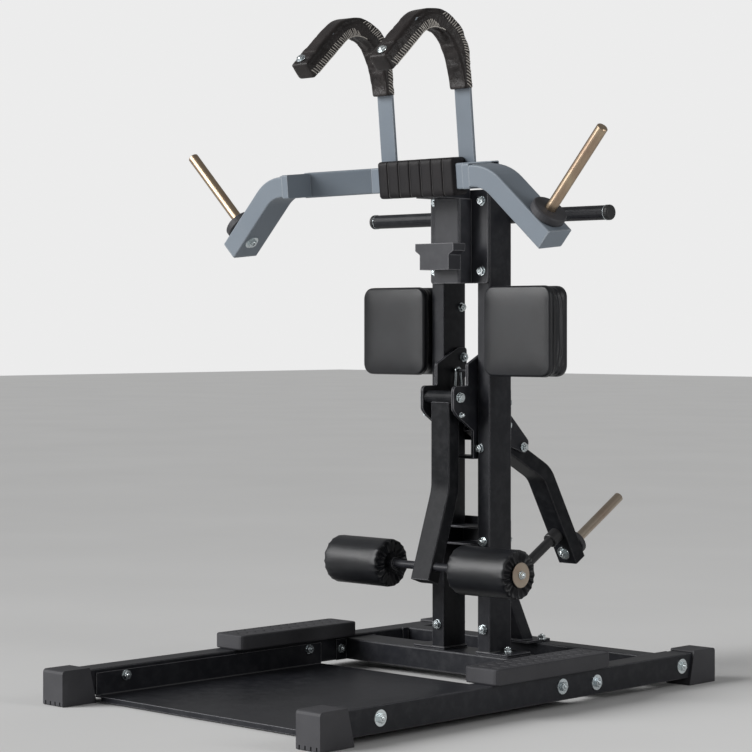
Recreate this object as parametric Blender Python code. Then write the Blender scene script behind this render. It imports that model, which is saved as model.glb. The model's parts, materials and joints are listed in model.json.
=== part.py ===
"""Squat station: a base, two columns, a lift-off shoulder yoke, a curl lever and a rear weight arm.

Metres, +Z up. X runs across the station, -Y is the side on which the user stands.
"""

import math

import bmesh
import bpy
from mathutils import Matrix, Vector

# Clearances and stock
GAP = 0.0003
WALL = 0.003
RUN_FIT = 0.0001
SIDE_FIT = 0.0005

# Base rails and feet
RAIL = 0.060
RAIL_INNER_X = 0.386
RAIL_Z = 0.0173
RAIL_FRONT_Y = -0.925
RAIL_REAR_Y = 0.4225
FOOT_SIDE = 0.0055
FOOT_TOP = 0.0047
FOOT_END = 0.006
FRONT_FOOT_LENGTH = 0.100
REAR_FOOT_LENGTH = 0.1035
FOOT_SLANT = 0.020

# Floor plate and cross beams
PLATE_FRONT_Y = -0.830
PLATE_REAR_Y = -0.100
PLATE_Z = 0.012
PLATE_FLANGE_TOP = 0.068
PLATE_LIP = 0.009
FLANGE = 0.0032
MID_BEAM_Y = (-0.010, 0.090)
MID_BEAM_HEIGHT = 0.053
MID_FLANGE_Y = (-0.045, 0.100)
REAR_BEAM_Y = (0.222, 0.280)
REAR_FLANGE_Y = (0.202, 0.322)

# Foot blocks
BLOCK_X = (0.361, 0.460)
BLOCK_Y = (-0.3925, 0.009)
BLOCK_HEIGHT = 0.0355
BLOCK_CORNER = 0.012
BLOCK_SLOTS = 13
BLOCK_SLOT = (0.026, 0.006, 0.0025)
BLOCK_SLOT_X = (0.030, 0.069)

# Columns
COLUMN_INNER_X = 0.055
COLUMN_WIDTH = 0.040
COLUMN_DEPTH = 0.0816
COLUMN_TOP = 1.195
COLUMN_PLATE = 0.006
COLUMN_PLATE_X = (0.050, 0.155)
COLUMN_PLATE_Y = (-0.004, 0.0856)

# Cross piece between the columns
CROSS_Z = (0.333, 0.379)

# Rear brace
BRACE_WIDTH = 0.060
BRACE_DEPTH = 0.036
BRACE_TOP_Z = 0.347
BRACE_FOOT_Y = 0.2235
BRACE_PLATE = 0.005

# Storage bar
BAR_RADIUS = 0.0175
BAR_HALF = 0.379
BAR_Z = 1.137
BAR_CAP_RADIUS = 0.0185
BAR_CAP_LENGTH = 0.012

# Post bracket that carries the yoke
POST_HALF = 0.0425
POST_FRONT_Y = -0.052
POST_Z = (0.972, 1.177)
POST_FLANGE_HALF = 0.0927
POST_FLANGE_TOP = 1.199
POST_FLANGE = 0.005
REST_TOP_X = 0.0620
REST_TOP_Z = (1.050, 1.068)
REST_REACH_Y = -0.0955
REST_BODY_X = 0.0470
REST_BODY_Z = 1.004
REST_FLARE = 0.010

# Thigh pads
PAD_X = (0.098, 0.3065)
PAD_Z = (0.747, 0.964)
PAD_FRONT_Y = -0.030
PAD_BOARD_Y = 0.0250
PAD_BOARD = 0.015
PAD_CORNER = 0.027
PAD_CROWN = 0.004
PAD_WAIST = 0.0045
PAD_SEAM_Y = -0.0125
PAD_BRACKET_Z = (0.775, 0.931)
PAD_BRACKET = 0.004

# Curl lever bracket
AXLE_Y = -0.065
AXLE_Z = 0.6955
AXLE_RADIUS = 0.008
AXLE_SIDES = 24
CHEEK_X = (0.0465, 0.0545)
CHEEK_REACH = 0.0195
CHEEK_TOP = 0.7230
CHEEK_BOTTOM = 0.545
CHEEK_STRIP_Y = (-0.0130, 0.0300)
EAR_Y = (-0.0330, 0.0760)
EAR_Z = (0.7755, 0.8150)
SLEEVE_RADIUS = 0.0160

# Curl lever
LEVER_WIDTH = 0.060
LEVER_DEPTH = 0.040
LEVER_FRONT_Y = -0.0755
LEVER_BEND_Z = 0.470
LEVER_BEND = math.radians(18.9)
LEVER_BEND_RADIUS = 0.120
SHAFT_Z = 0.289
SHAFT_SETBACK = 0.015
SHAFT_RADIUS = 0.0098
LEVER_END = 0.038
ROLLER_X = (0.112, 0.296)
ROLLER_RADIUS = 0.0588
ROLLER_EDGE = 0.016
ROLLER_DISC_RADIUS = 0.030

# Rear bracket and weight arm
ARM_PIVOT_Y = 0.195
ARM_PIVOT_Z = 0.566
ARM_PIN_RADIUS = 0.006
ARM_WIDTH = 0.060
ARM_DEPTH = 0.040
ARM_FRONT = (0.052, 0.627)
ARM_CORNER = (0.2997, 0.4954)
ARM_SLOPE = math.radians(60.0)
ARM_BEND_RADIUS = 0.075
ARM_LOWER = 0.263
ARM_HORN_AT = 0.032
ARM_HORN_RADIUS = 0.0125
ARM_HORN_REACH = 0.2456
ARM_STOP_AT = 0.089
ARM_STOP_RADIUS = 0.0125
ARM_DISC_RADIUS = 0.033
ARM_DISC_THICKNESS = 0.016
BRACKET_Z = (0.5900, 0.7100)
PLATE_HALF = 0.089
ARM_BOSS_RADIUS = 0.019
ARM_BOSS_REACH = 0.052

# Yoke, in its own leaning frame
YOKE_Y = -0.155
YOKE_Z = 1.222
YOKE_LEAN = math.radians(5.5)
CENTRE_HALF = 0.152
CENTRE_HEIGHT = 0.062
CENTRE_DEPTH = 0.038
DIAGONAL_DEPTH = 0.030
DIAGONAL_END_X = 0.306
COLLAR = 0.020
COLLAR_HEIGHT = 0.058
ARM_INNER_X = 0.305
YOKE_ARM_HEIGHT = 0.050
YOKE_ARM_DEPTH = 0.080
YOKE_ARM_BACK = -0.078
YOKE_ARM_CORNER_X = 0.3507
YOKE_ARM_SLOPE = math.radians(43.0)
YOKE_ARM_RADIUS = 0.100
YOKE_ARM_LOWER = 0.2192
HORN_AT = 0.050
HORN_RADIUS = 0.013
HORN_REACH = 0.280
DISC_RADIUS = 0.0425
DISC_THICKNESS = 0.020
HOOK_X = 0.127
HOOK_BAR_WIDTH = 0.050
HOOK_BAR = 0.008
HOOK_CENTRE = (-0.0685, 0.2745)
HOOK_TURN = math.radians(126.9)
HOOK_TIP = 0.136
HOOK_START_Z = 0.205
HOOK_PAD_WIDTH = 0.056
HOOK_PAD_DEPTH = 0.045
HOOK_PAD_THIN = 0.028
HOOK_COVER = 0.002
WRAP_HALF = 0.125
WRAP_CHANNELS = 6
WRAP_SIDE = 0.015
WRAP_FRONT = 0.009
WRAP_CORNER = 0.007

# Snap hook between the columns
SNAP_Y = 0.032
SNAP_PIN_Z = 0.758
SNAP_PIN_RADIUS = 0.004
SNAP_X = -0.036
SNAP_LENGTH = 0.060
SNAP_TOP_RADIUS = 0.0080
SNAP_LOW_RADIUS = 0.0110
SNAP_WIRE = 0.003

YOKE_FRAME = Matrix.Translation((0, YOKE_Y, YOKE_Z)) @ Matrix.Rotation(YOKE_LEAN, 4, "X")
PLAIN = Matrix.Identity(4)


def clear_scene():
    """Remove whatever the startup file holds."""
    for obj in list(bpy.data.objects):
        bpy.data.objects.remove(obj, do_unlink=True)


def material(name, colour, roughness, metallic=0.0):
    """A Principled material in the photo's colour."""
    made = bpy.data.materials.new(name)
    made.use_nodes = True
    shader = made.node_tree.nodes["Principled BSDF"]
    shader.inputs["Base Color"].default_value = (*colour, 1.0)
    shader.inputs["Roughness"].default_value = roughness
    shader.inputs["Metallic"].default_value = metallic
    made.diffuse_color = (*colour, 1.0)
    return made


def rectangle(width, height, radius=0.004, steps=3, centre=(0.0, 0.0)):
    """A rounded rectangle, anticlockwise, as (u, v) points."""
    points = []
    for quarter, (sx, sy) in enumerate(((1, 1), (-1, 1), (-1, -1), (1, -1))):
        cx = centre[0] + sx * (width / 2 - radius)
        cy = centre[1] + sy * (height / 2 - radius)
        for step in range(steps + 1):
            angle = math.pi / 2 * (quarter + step / steps)
            points.append((cx + radius * math.cos(angle), cy + radius * math.sin(angle)))
    return points


def circle(radius, count=24):
    """A regular polygon with its corners on the radius."""
    turns = (2 * math.pi * i / count for i in range(count))
    return [(radius * math.cos(a), radius * math.sin(a)) for a in turns]


def rounded(corners, radii, steps=5):
    """The corners of a flat path or outline as (a, b) pairs, each one with a radius turned into an arc.

    The first and the last corner of an open path have radius 0.
    """
    made = []
    count = len(corners)
    for i, (corner, radius) in enumerate(zip(corners, radii)):
        here = Vector(corner)
        if radius <= 0:
            made.append(tuple(here))
            continue
        before = (Vector(corners[i - 1]) - here).normalized()
        after = (Vector(corners[(i + 1) % count]) - here).normalized()
        half = before.angle(after) / 2
        reach = radius / math.tan(half)
        centre = here + (before + after).normalized() * (radius / math.sin(half))
        start = here + before * reach - centre
        turn = start.angle_signed(here + after * reach - centre)
        for step in range(steps + 1):
            made.append(tuple(centre + Matrix.Rotation(-turn * step / steps, 2) @ start))
    return made


class Solid:
    """One closed body under construction."""

    def __init__(self):
        self.mesh = bmesh.new()

    def rings(self, rings, cap_first=True, cap_last=True):
        """Join equal rings of points into a skin and cap its ends."""
        made = [[self.mesh.verts.new(point) for point in ring] for ring in rings]
        for near, far in zip(made, made[1:]):
            for i in range(len(near)):
                j = (i + 1) % len(near)
                self.mesh.faces.new((near[i], near[j], far[j], far[i]))
        if cap_first:
            self.mesh.faces.new(made[0][::-1])
        if cap_last:
            self.mesh.faces.new(made[-1])
        return made

    def collar(self, outer, inner):
        """Close the flat band between two rings of equal count."""
        for i in range(len(outer)):
            j = (i + 1) % len(outer)
            self.mesh.faces.new((outer[i], outer[j], inner[j], inner[i]))

    def finish(self, name, look, smooth=None):
        bmesh.ops.recalc_face_normals(self.mesh, faces=self.mesh.faces)
        data = bpy.data.meshes.new(name)
        self.mesh.to_mesh(data)
        self.mesh.free()
        data.materials.append(look)
        if smooth is not None:
            data.shade_smooth()
            data.set_sharp_from_angle(angle=math.radians(smooth))
        obj = bpy.data.objects.new(name, data)
        bpy.context.scene.collection.objects.link(obj)
        return obj


def section_rings(points, section, up, first=None, last=None, shape_at=None):
    """Place a (u, v) section at each point of a path, in mitre planes.

    v runs along up, u along the side of the path. first and last are the normals of the end planes.
    shape_at gives the section of the i-th point where it changes along the path.
    """
    points = [Vector(p) for p in points]
    up = Vector(up)
    steps = [(b - a).normalized() for a, b in zip(points, points[1:])]
    rings = []
    for i, point in enumerate(points):
        ahead = steps[min(i, len(steps) - 1)]
        behind = steps[max(i - 1, 0)]
        normal = (ahead + behind).normalized()
        if i == 0 and first:
            normal = Vector(first).normalized()
        if i == len(points) - 1 and last:
            normal = Vector(last).normalized()
        side = up.cross(ahead).normalized()
        ring = []
        for u, v in shape_at(i) if shape_at else section:
            offset = side * u + up * v
            ring.append(point + offset - ahead * (offset.dot(normal) / ahead.dot(normal)))
        rings.append(ring)
    return rings


def sweep(name, look, points, up, outer, inner=None, frame=PLAIN, smooth=40, **ends):
    """A bar, or with an inner section a tube that is open at both ends."""
    solid = Solid()
    skin = [[frame @ p for p in ring] for ring in section_rings(points, outer, up, **ends)]
    if inner is None:
        solid.rings(skin)
    else:
        core = [[frame @ p for p in ring] for ring in section_rings(points, inner, up, **ends)]
        outside = solid.rings(skin, False, False)
        inside = solid.rings(core, False, False)
        solid.collar(outside[0], inside[0])
        solid.collar(outside[-1], inside[-1])
    return solid.finish(name, look, smooth)


def tube(name, look, points, up, width, height, frame=PLAIN, radius=0.004, **ends):
    """A rectangular tube with rounded edges, width across the path and height along up."""
    return sweep(
        name,
        look,
        points,
        up,
        rectangle(width, height, radius),
        rectangle(width - 2 * WALL, height - 2 * WALL, max(radius - WALL, 0.0012)),
        frame,
        **ends,
    )


def prism(name, look, outline, axis, low, high, frame=PLAIN, smooth=None):
    """A flat outline drawn in the two other axes, in their own order, and given a thickness along axis."""
    def place(a, b, c):
        return Vector({"X": (c, a, b), "Y": (a, c, b), "Z": (a, b, c)}[axis])

    solid = Solid()
    solid.rings([[frame @ place(a, b, c) for a, b in outline] for c in (low, high)])
    return solid.finish(name, look, smooth)


def box(name, look, low, high, frame=PLAIN):
    outline = [(low[0], low[1]), (high[0], low[1]), (high[0], high[1]), (low[0], high[1])]
    return prism(name, look, outline, "Z", low[2], high[2], frame)


def hexagon(radius, count):
    """A hexagon with extra points along its sides. count is a multiple of 6."""
    points = []
    for i in range(count):
        turn = 2 * math.pi * i / count
        reach = radius * math.cos(math.pi / 6) / math.cos(turn % (math.pi / 3) - math.pi / 6)
        points.append((reach * math.cos(turn), reach * math.sin(turn)))
    return points


def lathe(name, look, profile, start, axis, count=24, frame=PLAIN, smooth=40):
    """Turn a closed profile of (along, radius) about an axis. A radius of 0 is allowed at both ends only.

    A third value of True makes that ring a hexagon, as on a bolt's head.
    """
    axis = Vector(axis).normalized()
    start = Vector(start)
    side = axis.orthogonal().normalized()
    other = axis.cross(side)
    solid = Solid()

    def ring(along, radius, flats=False):
        shape = hexagon(radius, count) if flats else circle(radius, count)
        return [frame @ (start + axis * along + side * u + other * v) for u, v in shape]

    if profile[0][1] == 0:
        body = profile[1:-1]
        made = solid.rings([ring(*p) for p in body], False, False)
        for end, (along, _) in ((made[0], profile[0]), (made[-1], profile[-1])):
            tip = solid.mesh.verts.new(frame @ (start + axis * along))
            for i in range(count):
                solid.mesh.faces.new((end[i], end[(i + 1) % count], tip))
    else:
        made = solid.rings([ring(*p) for p in profile], False, False)
        solid.collar(made[-1], made[0])
    return solid.finish(name, look, smooth)


def rod(name, look, start, end, radius, count=24, chamfer=0.0015, frame=PLAIN):
    """A round bar with chamfered ends."""
    length = (Vector(end) - Vector(start)).length
    profile = [
        (0, 0),
        (0, radius - chamfer),
        (chamfer, radius),
        (length - chamfer, radius),
        (length, radius - chamfer),
        (length, 0),
    ]
    return lathe(name, look, profile, start, Vector(end) - Vector(start), count, frame)


def combine(base, other, operation="UNION"):
    """Weld another body to this one, or cut it away, and drop the other."""
    change = base.modifiers.new("Combine", "BOOLEAN")
    change.operation = operation
    change.solver = "EXACT"
    change.object = other
    graph = bpy.context.evaluated_depsgraph_get()
    data = bpy.data.meshes.new_from_object(base.evaluated_get(graph))
    base.modifiers.clear()
    old = base.data
    base.data = data
    bpy.data.meshes.remove(old)
    bpy.data.objects.remove(other, do_unlink=True)
    return base


def sharpen(obj, degrees=35):
    obj.data.shade_smooth()
    obj.data.set_sharp_from_angle(angle=math.radians(degrees))
    return obj


def flat(*points):
    """Points of the X = 0 plane given as (y, z)."""
    return [Vector((0, y, z)) for y, z in points]


def both_sides():
    return (("left", -1), ("right", 1))


def make_rails():
    centre_x = RAIL_INNER_X + RAIL / 2
    centre_z = RAIL_Z + RAIL / 2
    for side, sign in both_sides():
        x = sign * centre_x
        ends = [(x, RAIL_FRONT_Y, centre_z), (x, RAIL_REAR_Y, centre_z)]
        tube(f"rail_{side}", BLACK, ends, (0, 0, 1), RAIL, RAIL)
        make_foot(f"foot_front_{side}", x, RAIL_FRONT_Y, 1, FRONT_FOOT_LENGTH)
        make_foot(f"foot_rear_{side}", x, RAIL_REAR_Y, -1, REAR_FOOT_LENGTH)


def make_foot(name, x, rail_end, inward, length):
    """A rubber boot over the rail's end, with its inner end cut on a slant."""
    end = rail_end - inward * FOOT_END
    top = RAIL_Z + RAIL + FOOT_TOP
    inner = end + inward * length
    corners = [(end, 0), (inner, 0), (inner - inward * FOOT_SLANT, top), (end, top)]
    outline = rounded(corners, (0.003, 0.002, 0.004, 0.008), 4)
    half = RAIL / 2 + FOOT_SIDE
    boot = prism(name, RUBBER, outline, "X", x - half, x + half)
    socket_half = RAIL / 2 + GAP
    low_y, high_y = sorted((rail_end - inward * GAP, inner + inward * 0.01))
    socket = box(
        "socket",
        RUBBER,
        (x - socket_half, low_y, RAIL_Z - GAP),
        (x + socket_half, high_y, RAIL_Z + RAIL + GAP),
    )
    return combine(boot, socket, "DIFFERENCE")


def make_floor_plate():
    """A folded sheet between the rails, bolted through its side flanges, with turned-down ends."""
    outer = RAIL_INNER_X - GAP
    inner = outer - FLANGE
    top = PLATE_Z + FLANGE
    outline = [(-outer, PLATE_Z), (outer, PLATE_Z), (outer, PLATE_FLANGE_TOP)]
    outline += [(inner, PLATE_FLANGE_TOP), (inner, top), (-inner, top)]
    outline += [(-inner, PLATE_FLANGE_TOP), (-outer, PLATE_FLANGE_TOP)]
    plate = prism("floor_plate", BLACK, outline, "Y", PLATE_FRONT_Y, PLATE_REAR_Y)
    for near, far in ((PLATE_FRONT_Y, PLATE_FRONT_Y + FLANGE), (PLATE_REAR_Y - FLANGE, PLATE_REAR_Y)):
        lip = box("lip", BLACK, (-outer + 0.02, near, PLATE_Z - PLATE_LIP), (outer - 0.02, far, top - 0.001))
        plate = combine(plate, lip)
    return plate


def make_cross_beam(name, beam_y, flange_y, height):
    """A tube across the base with a bolted plate welded on each end."""
    outer = RAIL_INNER_X - GAP
    centre_y = (beam_y[0] + beam_y[1]) / 2
    centre_z = RAIL_Z + height / 2
    overlap = outer - 0.0015
    ends = [(-overlap, centre_y, centre_z), (overlap, centre_y, centre_z)]
    beam = tube(name, BLACK, ends, (0, 0, 1), beam_y[1] - beam_y[0], height)
    for sign in (-1, 1):
        low_x, high_x = sorted((sign * (outer - FLANGE), sign * outer))
        low, high = (low_x, flange_y[0], RAIL_Z), (high_x, flange_y[1], RAIL_Z + height)
        beam = combine(beam, box("end_plate", BLACK, low, high))
        hole_y = centre_y
        reach = (beam_y[1] - beam_y[0]) / 2 - 0.010
        opening = box(
            "opening",
            BLACK,
            (low_x - 0.001, hole_y - reach, centre_z - height / 2 + 0.010),
            (high_x + 0.001, hole_y + reach, centre_z + height / 2 - 0.010),
        )
        beam = combine(beam, opening, "DIFFERENCE")
    return beam


def slot_outline(x, y):
    """One short slot of the tread, across the block."""
    a, b = BLOCK_SLOT[0] / 2, BLOCK_SLOT[1] / 2
    return [(x - a, y - b), (x + a, y - b), (x + a, y + b), (x - a, y + b)]


def make_foot_blocks():
    """Rubber blocks on the rails for a raised stance, with two rows of short slots in the tread."""
    base = RAIL_Z + RAIL + GAP
    top = base + BLOCK_HEIGHT
    middle_y = sum(BLOCK_Y) / 2
    length = BLOCK_Y[1] - BLOCK_Y[0]
    width = BLOCK_X[1] - BLOCK_X[0]
    pitch = (length - 0.024) / BLOCK_SLOTS
    for side, sign in both_sides():
        middle_x = sign * sum(BLOCK_X) / 2
        solid = Solid()
        rings = []
        for z, inset in ((base, 0.0015), (base + 0.003, 0.0), (top - 0.0025, 0.0), (top, 0.0025)):
            corner = BLOCK_CORNER - inset
            shape = rectangle(width - 2 * inset, length - 2 * inset, corner, 3, (middle_x, middle_y))
            rings.append([Vector((x, y, z)) for x, y in shape])
        solid.rings(rings)
        block = solid.finish(f"foot_block_{side}", RUBBER, 40)
        slots = Solid()
        heights = (top - BLOCK_SLOT[2], top + 0.002)
        for i in range(BLOCK_SLOTS):
            y = BLOCK_Y[0] + 0.012 + pitch * (i + 0.5)
            for across in BLOCK_SLOT_X:
                shape = slot_outline(sign * (BLOCK_X[0] + across), y)
                slots.rings([[Vector((a, b, z)) for a, b in shape] for z in heights])
        combine(block, slots.finish("slots", RUBBER, None), "DIFFERENCE")


def column_foot_z():
    return RAIL_Z + MID_BEAM_HEIGHT + GAP


def make_columns():
    """Two upright tubes, each welded on a foot plate that is bolted to the middle beam."""
    centre_y = COLUMN_DEPTH / 2
    foot = column_foot_z()
    for side, sign in both_sides():
        x = sign * (COLUMN_INNER_X + COLUMN_WIDTH / 2)
        ends = [(x, centre_y, foot + COLUMN_PLATE - 0.001), (x, centre_y, COLUMN_TOP)]
        column = tube(f"column_{side}", BLACK, ends, (0, 1, 0), COLUMN_WIDTH, COLUMN_DEPTH)
        low_x, high_x = sorted((sign * COLUMN_PLATE_X[0], sign * COLUMN_PLATE_X[1]))
        outline = rectangle(
            high_x - low_x,
            COLUMN_PLATE_Y[1] - COLUMN_PLATE_Y[0],
            0.006,
            centre=((low_x + high_x) / 2, sum(COLUMN_PLATE_Y) / 2),
        )
        sole = prism("sole", BLACK, outline, "Z", foot, foot + COLUMN_PLATE)
        drain = box(
            "drain",
            BLACK,
            (x - COLUMN_WIDTH / 2 + WALL + 0.003, WALL + 0.006, foot - 0.001),
            (x + COLUMN_WIDTH / 2 - WALL - 0.003, COLUMN_DEPTH - WALL - 0.006, foot + COLUMN_PLATE + 0.001),
        )
        combine(column, combine(sole, drain, "DIFFERENCE"))


def make_cross_piece():
    """A channel between the columns, open to the front."""
    half = COLUMN_INNER_X - GAP
    low, high = CROSS_Z
    rear = COLUMN_DEPTH - 0.006
    wall = 0.004
    outline = [(0.0, low), (rear, low), (rear, high), (0.0, high), (0.0, high - wall)]
    outline += [(rear - wall, high - wall), (rear - wall, low + wall), (0.0, low + wall)]
    prism("column_tie", BLACK, outline, "X", -half, half)


def make_brace():
    """A sloping tube from the columns to the rear beam, with a plate on each end."""
    rear = COLUMN_DEPTH + GAP
    sole = RAIL_Z + RAIL + GAP
    plate = BRACE_PLATE
    start = Vector((0, rear + plate - 0.001, BRACE_TOP_Z))
    end = Vector((0, BRACE_FOOT_Y, sole + plate - 0.001))
    brace = tube(
        "rear_brace",
        BLACK,
        [start, end],
        (1, 0, 0),
        BRACE_DEPTH,
        BRACE_WIDTH,
        first=(0, 1, 0),
        last=(0, 0, 1),
    )
    upper = prism(
        "upper",
        BLACK,
        rectangle(2 * PLATE_HALF, 0.100, 0.006, centre=(0, BRACE_TOP_Z)),
        "Y",
        rear,
        rear + plate,
    )
    low = (-0.020, rear - 0.001, BRACE_TOP_Z - 0.012)
    high = (0.020, rear + plate + 0.001, BRACE_TOP_Z + 0.012)
    brace = combine(brace, combine(upper, box("window", BLACK, low, high), "DIFFERENCE"))
    lower = prism(
        "lower",
        BLACK,
        rectangle(0.110, 0.090, 0.006, centre=(0, BRACE_FOOT_Y + 0.012)),
        "Z",
        sole,
        sole + plate,
    )
    low = (-0.018, BRACE_FOOT_Y - 0.008, sole - 0.001)
    high = (0.018, BRACE_FOOT_Y + 0.008, sole + plate + 0.001)
    return combine(brace, combine(lower, box("window", BLACK, low, high), "DIFFERENCE"))


def make_storage_bar():
    """One bar across the back of the columns for spare plates, with a rounded cap on each end."""
    y = COLUMN_DEPTH + GAP + BAR_RADIUS
    rod("storage_bar", BLACK, (-BAR_HALF, y, BAR_Z), (BAR_HALF, y, BAR_Z), BAR_RADIUS, 24)
    for side, sign in both_sides():
        profile = [(GAP, 0), (GAP, BAR_CAP_RADIUS - 0.001), (GAP + 0.001, BAR_CAP_RADIUS)]
        for step in range(4):
            turn = math.radians(90) * step / 4
            along = BAR_CAP_LENGTH - 0.006 + 0.006 * math.sin(turn)
            profile.append((along, BAR_CAP_RADIUS - 0.006 * (1 - math.cos(turn))))
        profile.append((BAR_CAP_LENGTH, 0))
        lathe(f"bar_cap_{side}", PLASTIC, profile, (sign * BAR_HALF, y, BAR_Z), (sign, 0, 0), 24)


def make_post():
    """The open-topped post that takes the yoke's stem, on a plate across both columns."""
    rear = -GAP
    flange_front = rear - POST_FLANGE
    depth = flange_front + 0.001 - POST_FRONT_Y
    centre_y = POST_FRONT_Y + depth / 2
    ends = [(0, centre_y, POST_Z[0]), (0, centre_y, POST_Z[1])]
    post = tube("post_bracket", BLACK, ends, (0, 1, 0), 2 * POST_HALF, depth, radius=0.006)
    height = POST_FLANGE_TOP - POST_Z[0]
    outline = rectangle(2 * POST_FLANGE_HALF, height, 0.007, centre=(0, POST_Z[0] + height / 2))
    return combine(post, prism("flange", BLACK, outline, "Y", flange_front, rear))


def make_rest():
    """The short rest on the front of the post: a block that flares out to a wider top."""
    back = POST_FRONT_Y - GAP
    low, high = REST_TOP_Z
    half = [(REST_TOP_X, high), (REST_TOP_X, low)]
    half += [(REST_BODY_X, low - REST_FLARE), (REST_BODY_X, REST_BODY_Z)]
    outline = [(-x, z) for x, z in half] + list(reversed(half))
    prism("post_rest", BLACK, outline, "Y", REST_REACH_Y, back)


def cushion(name, look, centre, half, corner, profile, front, crown):
    """A padded block in the XZ plane. profile is (inset, y) from the back to the front's rounded rim."""
    rings = []
    for inset, y in profile:
        shape = rectangle(2 * (half[0] - inset), 2 * (half[1] - inset), max(corner - inset, 0.003), 5)
        rings.append([(centre[0] + u, y, centre[1] + v) for u, v in shape])
    rim = profile[-1][0]
    inner = rectangle(2 * (half[0] - rim), 2 * (half[1] - rim), max(corner - rim, 0.003), 5)
    for scale in (0.88, 0.70, 0.40):
        y = front + crown * scale**4
        rings.append([(centre[0] + u * scale, y, centre[1] + v * scale) for u, v in inner])
    solid = Solid()
    made = solid.rings([[Vector(p) for p in ring] for ring in rings], True, False)
    tip = solid.mesh.verts.new((centre[0], front, centre[1]))
    last = made[-1]
    for i in range(len(last)):
        solid.mesh.faces.new((last[i], last[(i + 1) % len(last)], tip))
    return solid.finish(name, look, 50)


def pad_profile():
    """The pad's side: a covered board, a drawn-in band, a seam and a rounded rim."""
    back = PAD_BOARD_Y + PAD_BOARD
    rim = PAD_FRONT_Y + PAD_CROWN
    return [
        (0.0030, back),
        (0.0003, back - 0.0020),
        (0.0, PAD_BOARD_Y + 0.0030),
        (PAD_WAIST * 0.4, PAD_BOARD_Y),
        (PAD_WAIST, PAD_BOARD_Y - 0.0040),
        (PAD_WAIST, (PAD_BOARD_Y + PAD_SEAM_Y) / 2),
        (PAD_WAIST * 0.7, PAD_SEAM_Y + 0.0015),
        (0.0003, PAD_SEAM_Y - 0.0020),
        (0.0, rim + 0.0050),
        (0.0014, rim + 0.0018),
        (0.0050, rim),
    ]


def make_thigh_pads():
    """Covered cushions on boards, each carried by an angle on the outside of its column."""
    centre_z = sum(PAD_Z) / 2
    half = ((PAD_X[1] - PAD_X[0]) / 2, (PAD_Z[1] - PAD_Z[0]) / 2)
    outer = COLUMN_INNER_X + COLUMN_WIDTH + GAP
    reach = PAD_X[1] - 0.05
    thick = PAD_BRACKET
    for side, sign in both_sides():
        centre = (sign * sum(PAD_X) / 2, centre_z)
        cushion(f"thigh_pad_{side}", VINYL, centre, half, PAD_CORNER, pad_profile(), PAD_FRONT_Y, PAD_CROWN)
        front = PAD_BOARD_Y + PAD_BOARD + GAP
        outline = [(outer, front), (reach, front), (reach, front + thick)]
        outline += [(outer + thick, front + thick), (outer + thick, COLUMN_DEPTH), (outer, COLUMN_DEPTH)]
        angle = [(sign * a, b) for a, b in outline]
        prism(f"pad_bracket_{side}", BLACK, angle, "Z", *PAD_BRACKET_Z)


def cheek_outline():
    """The side view of the curl bracket: an ear at the top, a nose round the axle, a strip below."""
    nose = AXLE_Y - CHEEK_REACH
    front, rear = CHEEK_STRIP_Y
    corners = [
        (EAR_Y[0], CHEEK_TOP),
        (nose, CHEEK_TOP),
        (nose, AXLE_Z - 0.0300),
        (AXLE_Y - 0.0050, AXLE_Z - 0.0450),
        (front, AXLE_Z - 0.0820),
        (front, CHEEK_BOTTOM),
        (rear, CHEEK_BOTTOM),
        (rear, CHEEK_TOP - 0.0130),
        (EAR_Y[1], EAR_Z[0] - 0.0300),
        (EAR_Y[1], EAR_Z[1]),
        (EAR_Y[1] - 0.0320, EAR_Z[1]),
        (EAR_Y[0], EAR_Z[0]),
    ]
    radii = (0.004, 0.012, 0.014, 0.010, 0.006, 0.0, 0.0, 0.006, 0.008, 0.008, 0.008, 0.006)
    return rounded(corners, radii, 4)


def make_curl_bracket():
    """Two cheeks between the columns, joined by a web and a foot strip."""
    outline = cheek_outline()
    bracket = prism("curl_bracket", BLACK, outline, "X", CHEEK_X[0], CHEEK_X[1])
    other = prism("other", BLACK, outline, "X", -CHEEK_X[1], -CHEEK_X[0])
    inner = CHEEK_X[0] + 0.001
    front, rear = CHEEK_STRIP_Y
    low = (-inner, front + GAP, CHEEK_BOTTOM)
    foot = box("foot", BLACK, low, (inner, rear - GAP, CHEEK_BOTTOM + 0.008))
    bracket = combine(combine(bracket, foot), other)
    for sign in (-1, 1):
        low, high = sorted((sign * (CHEEK_X[0] - 0.01), sign * (CHEEK_X[1] + 0.01)))
        ends = ((low, AXLE_Y, AXLE_Z), (high, AXLE_Y, AXLE_Z))
        hole = rod("hole", BLACK, *ends, AXLE_RADIUS + GAP, AXLE_SIDES)
        bracket = combine(bracket, hole, "DIFFERENCE")
    reach = CHEEK_X[1] + 0.0003
    bolt("lever_axle", (AXLE_Y, AXLE_Z), reach, AXLE_RADIUS, 0.0125, 0.0140, AXLE_SIDES)
    return sharpen(bracket)


def bolt(name, place, reach, radius, washer, head, sides=18):
    """A bolt along X through (y, z), with a washer and a hexagon on each side from reach outwards."""
    half = [(-0.012, 0), (-0.012, radius - 0.001), (-0.011, radius), (-0.009, radius)]
    half += [(-0.009, head * 0.80), (-0.0082, head * 0.86, True), (-0.0025, head * 0.86, True)]
    half += [(-0.0025, washer), (0, washer), (0, radius)]
    span = 2 * reach
    far = [(span - ring[0], *ring[1:]) for ring in reversed(half)]
    return lathe(name, ZINC, half + far, (-reach, *place), (1, 0, 0), sides, smooth=30)


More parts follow.
